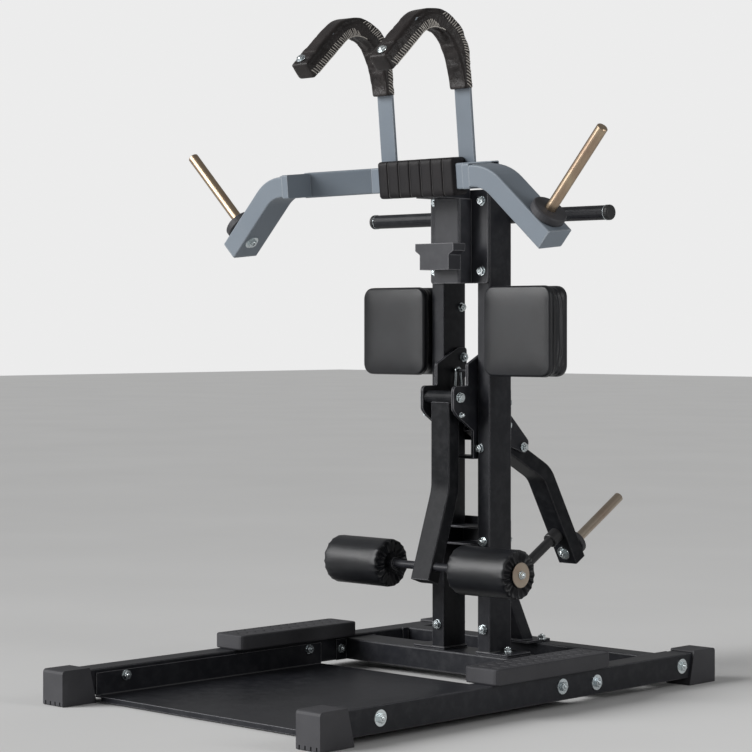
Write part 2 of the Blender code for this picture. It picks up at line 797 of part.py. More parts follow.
def lever_points():
    """The lever's centre line in the YZ plane, from its sleeve to its foot, and the roller shaft's place."""
    centre_y = LEVER_FRONT_Y + LEVER_DEPTH / 2
    corner = Vector((centre_y, LEVER_BEND_Z))
    down = Vector((-math.sin(LEVER_BEND), -math.cos(LEVER_BEND)))
    drop = (LEVER_BEND_Z - SHAFT_Z) / math.cos(LEVER_BEND)
    shaft = Vector((LEVER_FRONT_Y + SHAFT_SETBACK, LEVER_BEND_Z)) + down * drop
    end = corner + down * (drop + LEVER_END)
    return (centre_y, AXLE_Z - 0.004), tuple(corner), tuple(end), shaft


def make_lever():
    """The curl lever: a sleeve on the axle with a bent tube welded to it."""
    top, corner, end, shaft = lever_points()
    path = rounded([top, corner, end], (0, LEVER_BEND_RADIUS, 0), 6)
    lever = sweep("curl_lever", BLACK, flat(*path), (1, 0, 0), rectangle(LEVER_DEPTH, LEVER_WIDTH, 0.005))
    half = CHEEK_X[0] - SIDE_FIT
    axle = (AXLE_Y, AXLE_Z)
    sleeve = rod("sleeve", BLACK, (-half, *axle), (half, *axle), SLEEVE_RADIUS, 24, 0.001)
    lever = combine(lever, sleeve)
    bore = rod("bore", BLACK, (-0.1, *axle), (0.1, *axle), AXLE_RADIUS + RUN_FIT, AXLE_SIDES)
    lever = combine(lever, bore, "DIFFERENCE")
    bore = rod("bore", BLACK, (-0.1, *shaft), (0.1, *shaft), SHAFT_RADIUS + GAP, 20)
    lever = combine(lever, bore, "DIFFERENCE")
    return sharpen(lever)


def make_rollers():
    """Foam rollers that turn on one shaft, held on by a disc on each end."""
    shaft = lever_points()[3]
    reach = ROLLER_X[1] + 0.004
    collar_x = ROLLER_X[0] - 0.004
    collar = SHAFT_RADIUS + 0.005
    near = reach - collar_x
    half = [(0, 0), (0, SHAFT_RADIUS - 0.0015), (0.0015, SHAFT_RADIUS), (near, SHAFT_RADIUS)]
    half += [(near, collar), (near + 0.006, collar), (near + 0.006, SHAFT_RADIUS)]
    far = [(2 * reach - along, radius) for along, radius in reversed(half)]
    bar = lathe("roller_shaft", BLACK, half + far, (-reach, *shaft), (1, 0, 0), 20)
    for side, sign in both_sides():
        bore = SHAFT_RADIUS + RUN_FIT
        length = ROLLER_X[1] - ROLLER_X[0]
        radius = ROLLER_RADIUS
        edge = ROLLER_EDGE
        profile = [(0.006, bore), (0.004, 0.024), (0.000, radius - edge - 0.004)]
        for step in range(5):
            turn = math.pi / 2 * step / 4
            profile.append((0.001 + edge * (1 - math.cos(turn)), radius - edge + edge * math.sin(turn)))
        middle = [(length - along, r) for along, r in reversed(profile)]
        profile = profile + [(length / 2, radius + 0.0006)] + middle
        lathe(f"roller_{side}", VINYL, profile, (sign * ROLLER_X[0], *shaft), (sign, 0, 0), 28, smooth=60)
        start = (sign * (ROLLER_X[1] + 0.0002), *shaft)
        disc = [(0, SHAFT_RADIUS + GAP), (0, ROLLER_DISC_RADIUS - 0.001), (0.001, ROLLER_DISC_RADIUS)]
        disc += [(0.0025, ROLLER_DISC_RADIUS), (0.0035, ROLLER_DISC_RADIUS - 0.001)]
        disc += [(0.0035, SHAFT_RADIUS + GAP)]
        lathe(f"roller_disc_{side}", BRONZE, disc, start, (sign, 0, 0), 30)
    return bar


def arm_path():
    """The weight arm's centre line in the YZ plane."""
    corner = Vector(ARM_CORNER)
    down = Vector((math.cos(ARM_SLOPE), -math.sin(ARM_SLOPE)))
    end = corner + down * ARM_LOWER
    return Vector(ARM_FRONT), corner, end, down


def make_weight_arm():
    """The bent arm behind the columns, with its plate horn and its stop rod."""
    front, corner, end, down = arm_path()
    out = Vector((math.sin(ARM_SLOPE), math.cos(ARM_SLOPE)))
    path = rounded([tuple(front), tuple(corner), tuple(end)], (0, ARM_BEND_RADIUS, 0), 7)
    arm = tube("weight_arm", BLACK, flat(*path), (1, 0, 0), ARM_DEPTH, ARM_WIDTH)
    lug = lathe(
        "lug",
        BLACK,
        [(0, 0), (0, 0.016), (2 * ARM_WIDTH / 2, 0.016), (2 * ARM_WIDTH / 2, 0)],
        (-ARM_WIDTH / 2, ARM_PIVOT_Y, ARM_PIVOT_Z),
        (1, 0, 0),
        20,
    )
    arm = combine(arm, lug)
    pivot = (ARM_PIVOT_Y, ARM_PIVOT_Z)
    bore = rod("bore", BLACK, (-0.1, *pivot), (0.1, *pivot), ARM_PIN_RADIUS + RUN_FIT, 18)
    arm = combine(arm, bore, "DIFFERENCE")
    sharpen(arm)

    horn_at = end - down * ARM_HORN_AT
    base = horn_at + out * (ARM_DEPTH / 2 + GAP)
    tip = horn_at + out * ARM_HORN_REACH
    length = (tip - base).length
    rod("weight_horn", BRONZE, (0, *base), (0, *tip), ARM_HORN_RADIUS, 24, 0.002)
    bore = ARM_HORN_RADIUS + GAP
    rim = ARM_DISC_RADIUS
    disc = [(0, bore), (0, rim - 0.002), (0.002, rim), (ARM_DISC_THICKNESS - 0.002, rim)]
    disc += [(ARM_DISC_THICKNESS, rim - 0.002), (ARM_DISC_THICKNESS, bore)]
    lathe("weight_disc", RUBBER, disc, (0, *base), (0, *out), 30)

    stop_at = end - down * ARM_STOP_AT
    near = stop_at - out * (ARM_DEPTH / 2 + GAP)
    length = stop_reach(stop_at, out) - ARM_DEPTH / 2 - GAP
    boss = ARM_BOSS_REACH - ARM_DEPTH / 2
    thick, thin = ARM_BOSS_RADIUS, ARM_STOP_RADIUS
    profile = [(0, 0), (0, thick), (boss - 0.002, thick), (boss, thick - 0.002), (boss, thin)]
    profile += [(length - 0.002, thin), (length, thin - 0.002), (length, 0)]
    lathe("stop_rod", PLASTIC, profile, (0, *near), (0, *(-out)), 24)
    return arm


def stop_reach(stop_at, out):
    """How far the stop rod runs from the arm's centre line before it meets the brace."""
    rear = COLUMN_DEPTH + GAP + BRACE_PLATE
    start = Vector((rear, BRACE_TOP_Z))
    along = (Vector((BRACE_FOOT_Y, RAIL_Z + RAIL + BRACE_PLATE)) - start).normalized()
    normal = Vector((-along.y, along.x))
    if normal.x < 0:
        normal = -normal
    distance = (stop_at - start).dot(normal) - BRACE_DEPTH / 2
    facing = out.dot(normal)
    lean = math.sqrt(max(0.0, 1 - facing**2)) * ARM_STOP_RADIUS
    return (distance - lean - 0.0010) / facing


def make_rear_bracket():
    """Two plates behind the columns that carry the weight arm's pivot."""
    rear = COLUMN_DEPTH + GAP
    plate = 0.005
    inner = ARM_WIDTH / 2 + 0.0015
    corners = [
        (rear, BRACKET_Z[1]),
        (ARM_PIVOT_Y + 0.022, ARM_PIVOT_Z + 0.014),
        (ARM_PIVOT_Y + 0.012, ARM_PIVOT_Z - 0.018),
        (rear, BRACKET_Z[0]),
    ]
    outline = rounded(corners, (0.0, 0.012, 0.012, 0.0), 4)
    high = prism("arm_bracket", BLACK, outline, "X", inner, inner + plate)
    low = prism("low", BLACK, outline, "X", -inner - plate, -inner)
    height = BRACKET_Z[1] - BRACKET_Z[0] + 0.010
    shape = rectangle(2 * PLATE_HALF, height, 0.006, centre=(0, sum(BRACKET_Z) / 2))
    back = prism("back", BLACK, shape, "Y", rear, rear + plate)
    sill = (-inner, rear - 0.001, BRACKET_Z[0] - 0.090)
    lintel = (inner, rear + plate + 0.001, BRACKET_Z[1] - 0.0095)
    window = box("window", BLACK, sill, lintel)
    back = combine(back, window, "DIFFERENCE")
    bracket = combine(combine(back, high), low)
    bracket.name = "arm_bracket"
    for sign in (-1, 1):
        low_x, high_x = sorted((sign * (inner - 0.01), sign * (inner + plate + 0.01)))
        pivot = (ARM_PIVOT_Y, ARM_PIVOT_Z)
        hole = rod("hole", BLACK, (low_x, *pivot), (high_x, *pivot), ARM_PIN_RADIUS + GAP, 18)
        bracket = combine(bracket, hole, "DIFFERENCE")
    bolt("arm_pin", (ARM_PIVOT_Y, ARM_PIVOT_Z), inner + plate + GAP, ARM_PIN_RADIUS, 0.012, 0.011)
    return sharpen(bracket)


def make_yoke_frame():
    """The centre tube, the two diagonals that bring the yoke forward, and the two drooping arms."""
    back_centre = CENTRE_DEPTH / 2
    reach = -YOKE_ARM_BACK
    angle = math.atan2(reach, ARM_INNER_X - COLLAR - CENTRE_HALF + 0.0065)
    half = angle / 2
    joint_x = CENTRE_HALF + back_centre * math.tan(half)
    mitre = Vector((math.cos(half), -math.sin(half), 0))
    mirrored = Vector((-mitre.x, mitre.y, 0))
    tube(
        "yoke_centre",
        GREY,
        [(-joint_x, back_centre, 0), (joint_x, back_centre, 0)],
        (0, 0, 1),
        CENTRE_DEPTH,
        CENTRE_HEIGHT,
        YOKE_FRAME,
        first=mirrored,
        last=mitre,
    )
    for side, sign in both_sides():
        ahead = Vector((sign * math.cos(angle), -math.sin(angle), 0))
        normal = Vector((sign * mitre.x, mitre.y, 0))
        front = Vector((sign * CENTRE_HALF, 0, 0)) + ahead * (GAP + 0.0002)
        across = Vector((sign * math.sin(angle), math.cos(angle), 0)) * (DIAGONAL_DEPTH / 2)
        start = front + across
        start = start + ahead * ((front - start).dot(normal) / ahead.dot(normal))
        run = (start.y - YOKE_ARM_BACK - GAP) / math.sin(angle)
        diagonal = tube(
            f"yoke_diagonal_{side}",
            GREY,
            [start, start + ahead * run],
            (0, 0, 1),
            DIAGONAL_DEPTH,
            CENTRE_HEIGHT,
            YOKE_FRAME,
            first=normal,
            last=(0, 1, 0),
        )
        low_x, high_x = sorted((sign * DIAGONAL_END_X, sign * (DIAGONAL_END_X + 0.1)))
        trim = box("trim", GREY, (low_x, -0.2, -0.1), (high_x, 0.1, 0.1), YOKE_FRAME)
        combine(diagonal, trim, "DIFFERENCE")
        make_yoke_arm(side, sign)


def yoke_arm_line(sign):
    """The arm's corners in the yoke's (x, z) plane, its direction down and the horn's direction."""
    corner = Vector((YOKE_ARM_CORNER_X, 0))
    down = Vector((math.cos(YOKE_ARM_SLOPE), -math.sin(YOKE_ARM_SLOPE)))
    out = Vector((math.sin(YOKE_ARM_SLOPE), math.cos(YOKE_ARM_SLOPE)))
    end = corner + down * YOKE_ARM_LOWER
    return corner, end, down, out


def make_yoke_arm(side, sign):
    corner, end, down, out = yoke_arm_line(sign)
    centre_y = YOKE_ARM_BACK - YOKE_ARM_DEPTH / 2
    path = rounded([(ARM_INNER_X, 0), tuple(corner), tuple(end)], (0, YOKE_ARM_RADIUS, 0), 7)

    def place(point):
        return Vector((sign * point[0], centre_y, point[1]))

    tube(
        f"yoke_arm_{side}",
        GREY,
        [place(p) for p in path],
        (0, 1, 0),
        YOKE_ARM_HEIGHT,
        YOKE_ARM_DEPTH,
        YOKE_FRAME,
    )
    stem = WALL + SIDE_FIT
    plug_section = rectangle(YOKE_ARM_HEIGHT - 2 * stem, YOKE_ARM_DEPTH - 2 * stem, 0.0015)
    inner = ("inner", Vector((ARM_INNER_X, 0)), Vector((-1, 0)), COLLAR, COLLAR_HEIGHT)
    outer = ("outer", end, down, 0.0022, YOKE_ARM_HEIGHT)
    for where, point, away, thick, height in (inner, outer):
        section = rectangle(height, YOKE_ARM_DEPTH, 0.004)
        cover = [place(point + away * GAP), place(point + away * thick)]
        cap = sweep(f"arm_cap_{where}_{side}", GREY, cover, (0, 1, 0), section, None, YOKE_FRAME)
        inside = [place(point - away * 0.010), place(point + away * 0.001)]
        combine(cap, sweep("plug", GREY, inside, (0, 1, 0), plug_section, None, YOKE_FRAME))

    horn_at = end - down * HORN_AT
    face = YOKE_ARM_HEIGHT / 2 + GAP
    base = place(horn_at + out * face)
    tip = place(horn_at + out * HORN_REACH)
    rod(f"plate_horn_{side}", GOLD, base, tip, HORN_RADIUS, 24, 0.002, YOKE_FRAME)
    bore = HORN_RADIUS + GAP
    rim, thick = DISC_RADIUS, DISC_THICKNESS
    disc = [(0, bore), (0, rim - 0.003), (0.003, rim), (thick - 0.003, rim), (thick, rim - 0.003)]
    disc += [(thick, bore)]
    lathe(f"stop_disc_{side}", RUBBER, disc, base, tip - base, 32, YOKE_FRAME)


def make_yoke_stem():
    """The lug behind the centre tube, with the stem that stands in the post."""
    lean = math.tan(YOKE_LEAN)
    tube_back = YOKE_Y + (CENTRE_DEPTH + GAP) / math.cos(YOKE_LEAN)
    seat = POST_Z[1] + GAP
    top = seat + 0.045

    def back_at(z):
        return tube_back - (z - YOKE_Z) * lean

    outline = [(back_at(seat), seat), (-0.012, seat), (-0.012, top), (back_at(top), top)]
    lug = prism("yoke_stem", BLACK, outline, "X", -POST_HALF, POST_HALF)
    inset = WALL + 0.0015
    depth_front = POST_FRONT_Y + inset
    depth_back = -GAP - POST_FLANGE + 0.001 - inset
    middle = (0, (depth_front + depth_back) / 2)
    shape = rectangle(2 * (POST_HALF - inset), depth_back - depth_front, 0.003, centre=middle)
    return combine(lug, prism("stem", BLACK, shape, "Z", seat - 0.120, seat + 0.005))


def hook_path(tip):
    """The hook bar's centre line in the yoke's (y, z) plane."""
    centre = Vector(HOOK_CENTRE)
    y = CENTRE_DEPTH + GAP + HOOK_BAR / 2
    radius = y - centre.x
    points = []
    steps = 15
    for step in range(steps + 1):
        turn = HOOK_TURN * step / steps
        points.append(centre + radius * Vector((math.cos(turn), math.sin(turn))))
    ahead = Vector((-math.sin(HOOK_TURN), math.cos(HOOK_TURN)))
    points.append(points[-1] + ahead * tip)
    return y, points


def make_hooks():
    """Flat bars that rise behind the centre tube and arch forward, each in a laced leather sleeve."""
    for side, sign in both_sides():
        x = sign * HOOK_X
        y, arc = hook_path(HOOK_TIP - 0.004)
        path = [Vector((x, y, -0.028))] + [Vector((x, *p)) for p in arc]
        section = rectangle(HOOK_BAR, HOOK_BAR_WIDTH, 0.0015, 1)
        sweep(f"hook_bar_{side}", GREY, path, (1, 0, 0), section, None, YOKE_FRAME)
        make_hook_pad(side, x)


def make_hook_pad(side, x):
    """A padded sleeve with a blind pocket for the bar."""
    y, arc = hook_path(HOOK_TIP)
    outer_path = [Vector((x, y, HOOK_START_Z))] + [Vector((x, *p)) for p in arc]
    inner_path = outer_path[:-1] + [outer_path[-1] + (outer_path[-2] - outer_path[-1]).normalized() * 0.0037]
    outward = HOOK_BAR / 2 + HOOK_COVER
    steps = 2

    def section(i):
        """Thin and laced tight at the foot, full from the start of the arch."""
        share = min(i / 4, 1.0)
        depth = HOOK_PAD_THIN + (HOOK_PAD_DEPTH - HOOK_PAD_THIN) * share
        return rectangle(depth, HOOK_PAD_WIDTH, 0.007, steps, (depth / 2 - outward, 0))

    pocket = rectangle(HOOK_BAR + 2 * GAP, HOOK_BAR_WIDTH + 2 * GAP, 0.0014, steps)
    solid = Solid()
    up = (1, 0, 0)
    skin = section_rings(outer_path, None, up, shape_at=section)
    skin = [[YOKE_FRAME @ p for p in ring] for ring in skin]
    core = [[YOKE_FRAME @ p for p in ring] for ring in section_rings(inner_path, pocket, up)]
    outside = solid.rings(skin, False, True)
    inside = solid.rings(core, False, True)
    solid.collar(outside[0], inside[0])
    return solid.finish(f"hook_pad_{side}", LEATHER, 50)


def make_wrap():
    """The channelled leather round the front of the centre tube: flat panels between narrow channels."""
    half_z = CENTRE_HEIGHT / 2
    back = CENTRE_DEPTH - 0.001
    panels = WRAP_CHANNELS + 1
    pitch = 2 * WRAP_HALF / panels
    solid = Solid()
    rings = []
    for panel in range(panels):
        start = -WRAP_HALF + panel * pitch
        for along, full in ((0.0, 0.55), (0.10, 0.90), (0.35, 1.0), (0.65, 1.0), (0.90, 0.90)):
            if panel == 0 and along == 0.0:
                full = 0.75
            rings.append((start + along * pitch, full))
    rings.append((WRAP_HALF, 0.75))
    loops = []
    for x, full in rings:
        front = -GAP - WRAP_FRONT * full
        side = half_z + GAP + WRAP_SIDE * (0.7 + 0.3 * full)
        corners = [(back, side), (front, side), (front, -side), (back, -side)]
        outline = rounded(corners, (0.0, WRAP_CORNER, WRAP_CORNER, 0.0), 3)
        seat = half_z + GAP
        inner = [(back, -seat), (-GAP, -seat), (-GAP, seat), (back, seat)]
        loops.append([YOKE_FRAME @ Vector((x, a, b)) for a, b in outline + inner])
    solid.rings(loops)
    return solid.finish("back_wrap", LEATHER, 50)


def make_snap_hook():
    """A spring hook that hangs on a pin between the columns."""
    half = CHEEK_X[0] - GAP
    place = (SNAP_Y, SNAP_PIN_Z)
    rod("snap_pin", BLACK, (-half, *place), (half, *place), SNAP_PIN_RADIUS, 16, 0.0008)
    top = SNAP_PIN_Z + SNAP_PIN_RADIUS + SNAP_WIRE + 0.0004
    bends = ((top - SNAP_TOP_RADIUS, 0, SNAP_TOP_RADIUS),)
    bends += ((top - SNAP_LENGTH + 2 * SNAP_WIRE + SNAP_LOW_RADIUS, 180, SNAP_LOW_RADIUS),)
    points = []
    for centre, start, radius in bends:
        for step in range(8):
            turn = math.radians(start + 180 * step / 7)
            points.append((SNAP_Y + radius * math.cos(turn), centre + radius * math.sin(turn)))
    solid = Solid()
    count = len(points)
    section = circle(SNAP_WIRE, 10)
    loops = []
    for i, (y, z) in enumerate(points):
        before = Vector(points[i - 1])
        after = Vector(points[(i + 1) % count])
        ahead = (after - before).normalized()
        side = Vector((0, ahead.y, -ahead.x))
        here = Vector((SNAP_X, y, z))
        loops.append([solid.mesh.verts.new(here + side * u + Vector((1, 0, 0)) * v) for u, v in section])
    for i in range(count):
        near, far = loops[i], loops[(i + 1) % count]
        for j in range(len(section)):
            k = (j + 1) % len(section)
            solid.mesh.faces.new((near[j], near[k], far[k], far[j]))
    return solid.finish("snap_hook", ZINC, 50)


def centre_on_origin():
    """Move the whole station so that the middle of its footprint stands on the origin."""
    lows = [min((v.co.y for v in obj.data.vertices)) for obj in bpy.data.objects]
    highs = [max((v.co.y for v in obj.data.vertices)) for obj in bpy.data.objects]
    shift = -(min(lows) + max(highs)) / 2
    for obj in bpy.data.objects:
        obj.data.transform(Matrix.Translation((0, shift, 0)))
    return shift


def carry(name, place, pieces):
    """Hang the pieces of one moving body from an empty on its joint's axis."""
    pivot = bpy.data.objects.new(name, None)
    pivot.location = place
    pivot.empty_display_size = 0.05
    bpy.context.scene.collection.objects.link(pivot)
    for piece in pieces:
        obj = bpy.data.objects[piece]
        obj.data.transform(Matrix.Translation(-Vector(place)))
        obj.parent = pivot
    print(name, [round(value, 6) for value in place])
    return pivot


def hang_moving_bodies(shift):
    """Every joint of the station, each as an empty with the pieces that move on it."""
    sides = ("left", "right")
    yoke = ["yoke_centre", "yoke_stem", "back_wrap"]
    for kind in ("yoke_diagonal", "yoke_arm", "arm_cap_inner", "arm_cap_outer", "plate_horn", "stop_disc"):
        yoke += [f"{kind}_{side}" for side in sides]
    for kind in ("hook_bar", "hook_pad"):
        yoke += [f"{kind}_{side}" for side in sides]
    carry("yoke_lift", (0, POST_FRONT_Y / 2 + shift, POST_Z[1]), yoke)
    lever = ["curl_lever", "roller_shaft", "roller_disc_left", "roller_disc_right"]
    lever_pivot = carry("lever_hinge", (0, AXLE_Y + shift, AXLE_Z), lever)
    shaft = lever_points()[3]
    for side, sign in both_sides():
        place = Vector((sign * sum(ROLLER_X) / 2, shaft.x + shift, shaft.y))
        roller_pivot = carry(f"roller_spin_{side}", place, [f"roller_{side}"])
        roller_pivot.parent = lever_pivot
        roller_pivot.location = place - lever_pivot.location
    arm = ["weight_arm", "weight_horn", "weight_disc", "stop_rod"]
    carry("weight_arm_hinge", (0, ARM_PIVOT_Y + shift, ARM_PIVOT_Z), arm)
    carry("snap_swing", (SNAP_X, SNAP_Y + shift, SNAP_PIN_Z), ["snap_hook"])


clear_scene()
BLACK = material("black_powder_coat", (0.020, 0.020, 0.022), 0.38)
GREY = material("grey_powder_coat", (0.30, 0.34, 0.38), 0.42)
RUBBER = material("dark_rubber", (0.035, 0.035, 0.037), 0.75)
PLASTIC = material("black_plastic", (0.018, 0.018, 0.018), 0.45)
VINYL = material("black_vinyl", (0.016, 0.016, 0.017), 0.36)
LEATHER = material("brown_black_leather", (0.030, 0.022, 0.018), 0.48)
ZINC = material("zinc_plate", (0.62, 0.62, 0.63), 0.30, 1.0)
GOLD = material("yellow_zinc", (0.62, 0.47, 0.24), 0.35, 1.0)
BRONZE = material("bronze_zinc", (0.48, 0.38, 0.27), 0.36, 1.0)

make_rails()
make_floor_plate()
make_cross_beam("mid_beam", MID_BEAM_Y, MID_FLANGE_Y, MID_BEAM_HEIGHT)
make_cross_beam("rear_beam", REAR_BEAM_Y, REAR_FLANGE_Y, RAIL)
make_foot_blocks()
make_columns()
make_cross_piece()
make_brace()
make_storage_bar()
make_post()
make_rest()
make_thigh_pads()
make_curl_bracket()
make_lever()
make_rollers()
make_rear_bracket()
make_weight_arm()
make_yoke_frame()
make_yoke_stem()
make_hooks()
make_wrap()
make_snap_hook()
hang_moving_bodies(centre_on_origin())
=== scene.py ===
# %% [markdown]
# # A squat station, dressed for its photograph
# The station is a free-standing home gym frame: two base rails, two columns, a shoulder
# yoke, a lever with two rollers and a weight arm behind. The steel is already modelled.
# Here it gets its paint, its bolts and welds, its stuffed pads and laced leather, and light.

import json
import random
from math import copysign, cos, degrees, exp, pi, radians, sin, tan

import bmesh
import bpy
from mathutils import Matrix, Vector
from mathutils.bvhtree import BVHTree


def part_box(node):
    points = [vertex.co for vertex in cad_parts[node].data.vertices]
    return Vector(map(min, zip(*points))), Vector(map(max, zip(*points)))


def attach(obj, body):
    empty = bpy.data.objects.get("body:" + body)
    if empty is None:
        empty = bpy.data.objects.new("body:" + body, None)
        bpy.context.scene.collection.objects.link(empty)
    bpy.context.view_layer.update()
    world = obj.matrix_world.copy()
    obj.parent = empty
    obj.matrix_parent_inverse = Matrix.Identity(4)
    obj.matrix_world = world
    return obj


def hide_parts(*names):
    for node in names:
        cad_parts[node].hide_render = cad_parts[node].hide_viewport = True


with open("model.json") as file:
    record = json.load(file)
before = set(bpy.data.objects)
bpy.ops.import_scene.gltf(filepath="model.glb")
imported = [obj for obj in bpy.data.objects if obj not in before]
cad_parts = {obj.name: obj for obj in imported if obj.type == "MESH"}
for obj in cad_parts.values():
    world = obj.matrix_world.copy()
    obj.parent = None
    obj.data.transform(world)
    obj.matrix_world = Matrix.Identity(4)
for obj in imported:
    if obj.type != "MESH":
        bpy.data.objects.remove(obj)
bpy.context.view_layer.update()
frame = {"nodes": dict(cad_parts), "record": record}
nodes = frame["nodes"]
SIDES = (("left", -1), ("right", 1))
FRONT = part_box("post_bracket")[1].y + 0.0003
print(len(nodes), "pieces of the station, columns' front at y =", round(FRONT, 4))

# %% [markdown]
# ## Writing shader maths as plain expressions
# A material is a graph of nodes, but its sums read best as sums. This small class wraps one
# socket and turns `*`, `+` and `-` into Math nodes. A ramp turns a noise into a mask.
# Colours never go through Math, which would turn them grey: they go through Mix.


# %% Sockets
class Sock:
    """One output of a node, with arithmetic."""

    def __init__(self, tree, output):
        self.tree = tree
        self.output = output

    def maths(self, operation, other, swapped=False):
        first, second = (other, self) if swapped else (self, other)
        return self.tree.add("ShaderNodeMath", {"operation": operation}, {0: first, 1: second})

    def __add__(self, other):
        return self.maths("ADD", other)

    def __sub__(self, other):
        return self.maths("SUBTRACT", other)

    def __rsub__(self, other):
        return self.maths("SUBTRACT", other, True)

    def __mul__(self, other):
        return self.maths("MULTIPLY", other)

    __radd__ = __add__
    __rmul__ = __mul__


print("sockets can add, subtract and multiply")


# %% Trees
class Tree:
    """The nodes of a material, of the world or of a geometry tree."""

    def __init__(self, node_tree):
        self.nodes = node_tree.nodes
        self.links = node_tree.links

    def add(self, kind, settings=None, inputs=None, output=0):
        """Make a node, set it up, then give its sockets their values or links."""
        node = self.nodes.new(kind)
        for name, value in (settings or {}).items():
            if name == "stops":
                for element, (place, level) in zip(node.color_ramp.elements, value):
                    element.position = place
                    element.color = (level, level, level, 1)
            else:
                setattr(node, name, value)
        for socket, value in (inputs or {}).items():
            self.feed(node.inputs[socket], value)
        return Sock(self, node.outputs[output])

    def feed(self, socket, value):
        if isinstance(value, Sock):
            self.links.new(value.output, socket)
        elif value is not None:
            socket.default_value = value

    def noise(self, scale, detail=3.0, rough=0.5, warp=0.0):
        inputs = {"Vector": self.add("ShaderNodeTexCoord", output="Object"), "Scale": scale}
        inputs |= {"Detail": detail, "Roughness": rough, "Distortion": warp}
        return self.add("ShaderNodeTexNoise", None, inputs)

    def cells(self, scale, feature="F1"):
        inputs = {"Vector": self.add("ShaderNodeTexCoord", output="Object"), "Scale": scale}
        return self.add("ShaderNodeTexVoronoi", {"feature": feature}, inputs)

    def mask(self, value, low, high):
        stops = [(low, 0.0), (high, 1.0)]
        return self.add("ShaderNodeValToRGB", {"stops": stops}, {"Fac": value})

    def blend(self, factor, first, second):
        """Mix two colours."""
        inputs = {"Factor": factor, 6: first, 7: second}
        return self.add("ShaderNodeMix", {"data_type": "RGBA"}, inputs, output=2)

    def bump(self, height, strength, distance, under=None):
        inputs = {"Height": height, "Strength": strength, "Distance": distance, "Normal": under}
        return self.add("ShaderNodeBump", None, inputs)

    def soft_edge(self, radius):
        """A rounded look on sharp edges."""
        return self.add("ShaderNodeBevel", {"samples": 4}, {"Radius": radius})


def rgb(red, green, blue):
    return (red, green, blue, 1.0)


print("trees can make noise, cells, masks, blends and bumps")

# %% [markdown]
# ## A finish is a Principled shader with its own inputs
# Each finish fills a shader's Base Color, Roughness and Normal from noises at the real scale
# of its grain. What is even all over, such as Metallic on zinc, is set once by number.


# %% Start a finish
FINISHES = {}


class Finish(Tree):
    """A material that is kept under the name of its slot in the record."""

    def __init__(self, name, metallic=0.0, sheen=0.0, specular=0.5, slot=None):
        self.made = bpy.data.materials.new("finish_" + name)
        self.made.use_nodes = True
        self.made["slot"] = slot or name
        super().__init__(self.made.node_tree)
        self.inputs = self.nodes["Principled BSDF"].inputs
        self.inputs["Metallic"].default_value = metallic
        self.inputs["Sheen Weight"].default_value = sheen
        self.inputs["Specular IOR Level"].default_value = specular
        FINISHES[name] = self.made

    def wear(self, colour, rough, normal=None):
        for name, value in (("Base Color", colour), ("Roughness", rough), ("Normal", normal)):
            self.feed(self.inputs[name], value)
        return self.made


print("a finish wears a colour, a roughness and a normal")

# %% [markdown]
# ## Powder coat
# The frame is black and the yoke grey baked powder. Its skin has fine dimples like an orange,
# and its edges carry a painted highlight: a Bevel node finds them, and where its rounded normal
# turns away from the flat one, a paler edge colour is painted in. The post at the front is
# glossier than the rest and painted lighter, a painted highlight; the lever and the weight arm
# are duller and painted darker, a painted shade; and a weld bead is shinier and painted paler,
# a painted highlight.


# %% Powder coats
def powder_coat(name, dark, light, rough, edge, specular=0.22):
    tree = Finish(name, specular=specular)
    cloud = tree.noise(3.2, 4.0, 0.55)
    peel = tree.noise(420.0, 2.0, 0.5)
    dust = tree.mask(tree.noise(38.0, 6.0, 0.62), 0.45, 0.80)
    normals = {0: tree.soft_edge(0.0026), 1: tree.add("ShaderNodeNewGeometry", output="Normal")}
    facing = tree.add("ShaderNodeVectorMath", {"operation": "DOT_PRODUCT"}, normals, "Value")
    # Painted highlight: every edge takes the paler edge colour where the Bevel normal turns away
    # from the flat one.
    wear_and_edge_highlight = tree.mask(1.0 - facing, 0.01, 0.12)
    base = tree.blend(tree.mask(cloud, 0.30, 0.72), dark, light)
    dusty = tree.blend(dust * 0.10, base, rgb(0.20, 0.20, 0.21))
    worn = rough + (cloud - 0.5) * 0.14 + dust * 0.07 - wear_and_edge_highlight * 0.08
    dimples = tree.bump(peel, 0.22, 0.0003, tree.soft_edge(0.0016))
    return tree.wear(tree.blend(wear_and_edge_highlight * 0.85, dusty, edge), worn, dimples)


# The last colour of each powder coat is its painted edge highlight.
BLACK = powder_coat(
    "black_powder_coat", rgb(0.011, 0.0118, 0.015), rgb(0.019, 0.020, 0.025), 0.37,
    rgb(0.34, 0.34, 0.36)
)
# Painted highlight: the weld bead is black powder under its slot, painted paler to stand for its
# shine.
WELD_PAINTED_HIGHLIGHT = powder_coat(
    "weld_bead_painted_highlight", rgb(0.055, 0.056, 0.060), rgb(0.095, 0.097, 0.102), 0.16, rgb(0.16, 0.16, 0.16)
)
WELD_PAINTED_HIGHLIGHT["slot"] = "black_powder_coat"
GREY = powder_coat(
    "grey_powder_coat", rgb(0.180, 0.213, 0.252), rgb(0.220, 0.255, 0.295), 0.36,
    rgb(0.55, 0.60, 0.64)
)
# Painted highlight: the post's black coat is painted lighter than the rest of the frame.
SATIN_PAINTED_LIGHT = powder_coat(
    "satin_painted_light_powder_coat", rgb(0.026, 0.027, 0.032), rgb(0.038, 0.039, 0.046), 0.33,
    rgb(0.42, 0.42, 0.44), 0.30
)
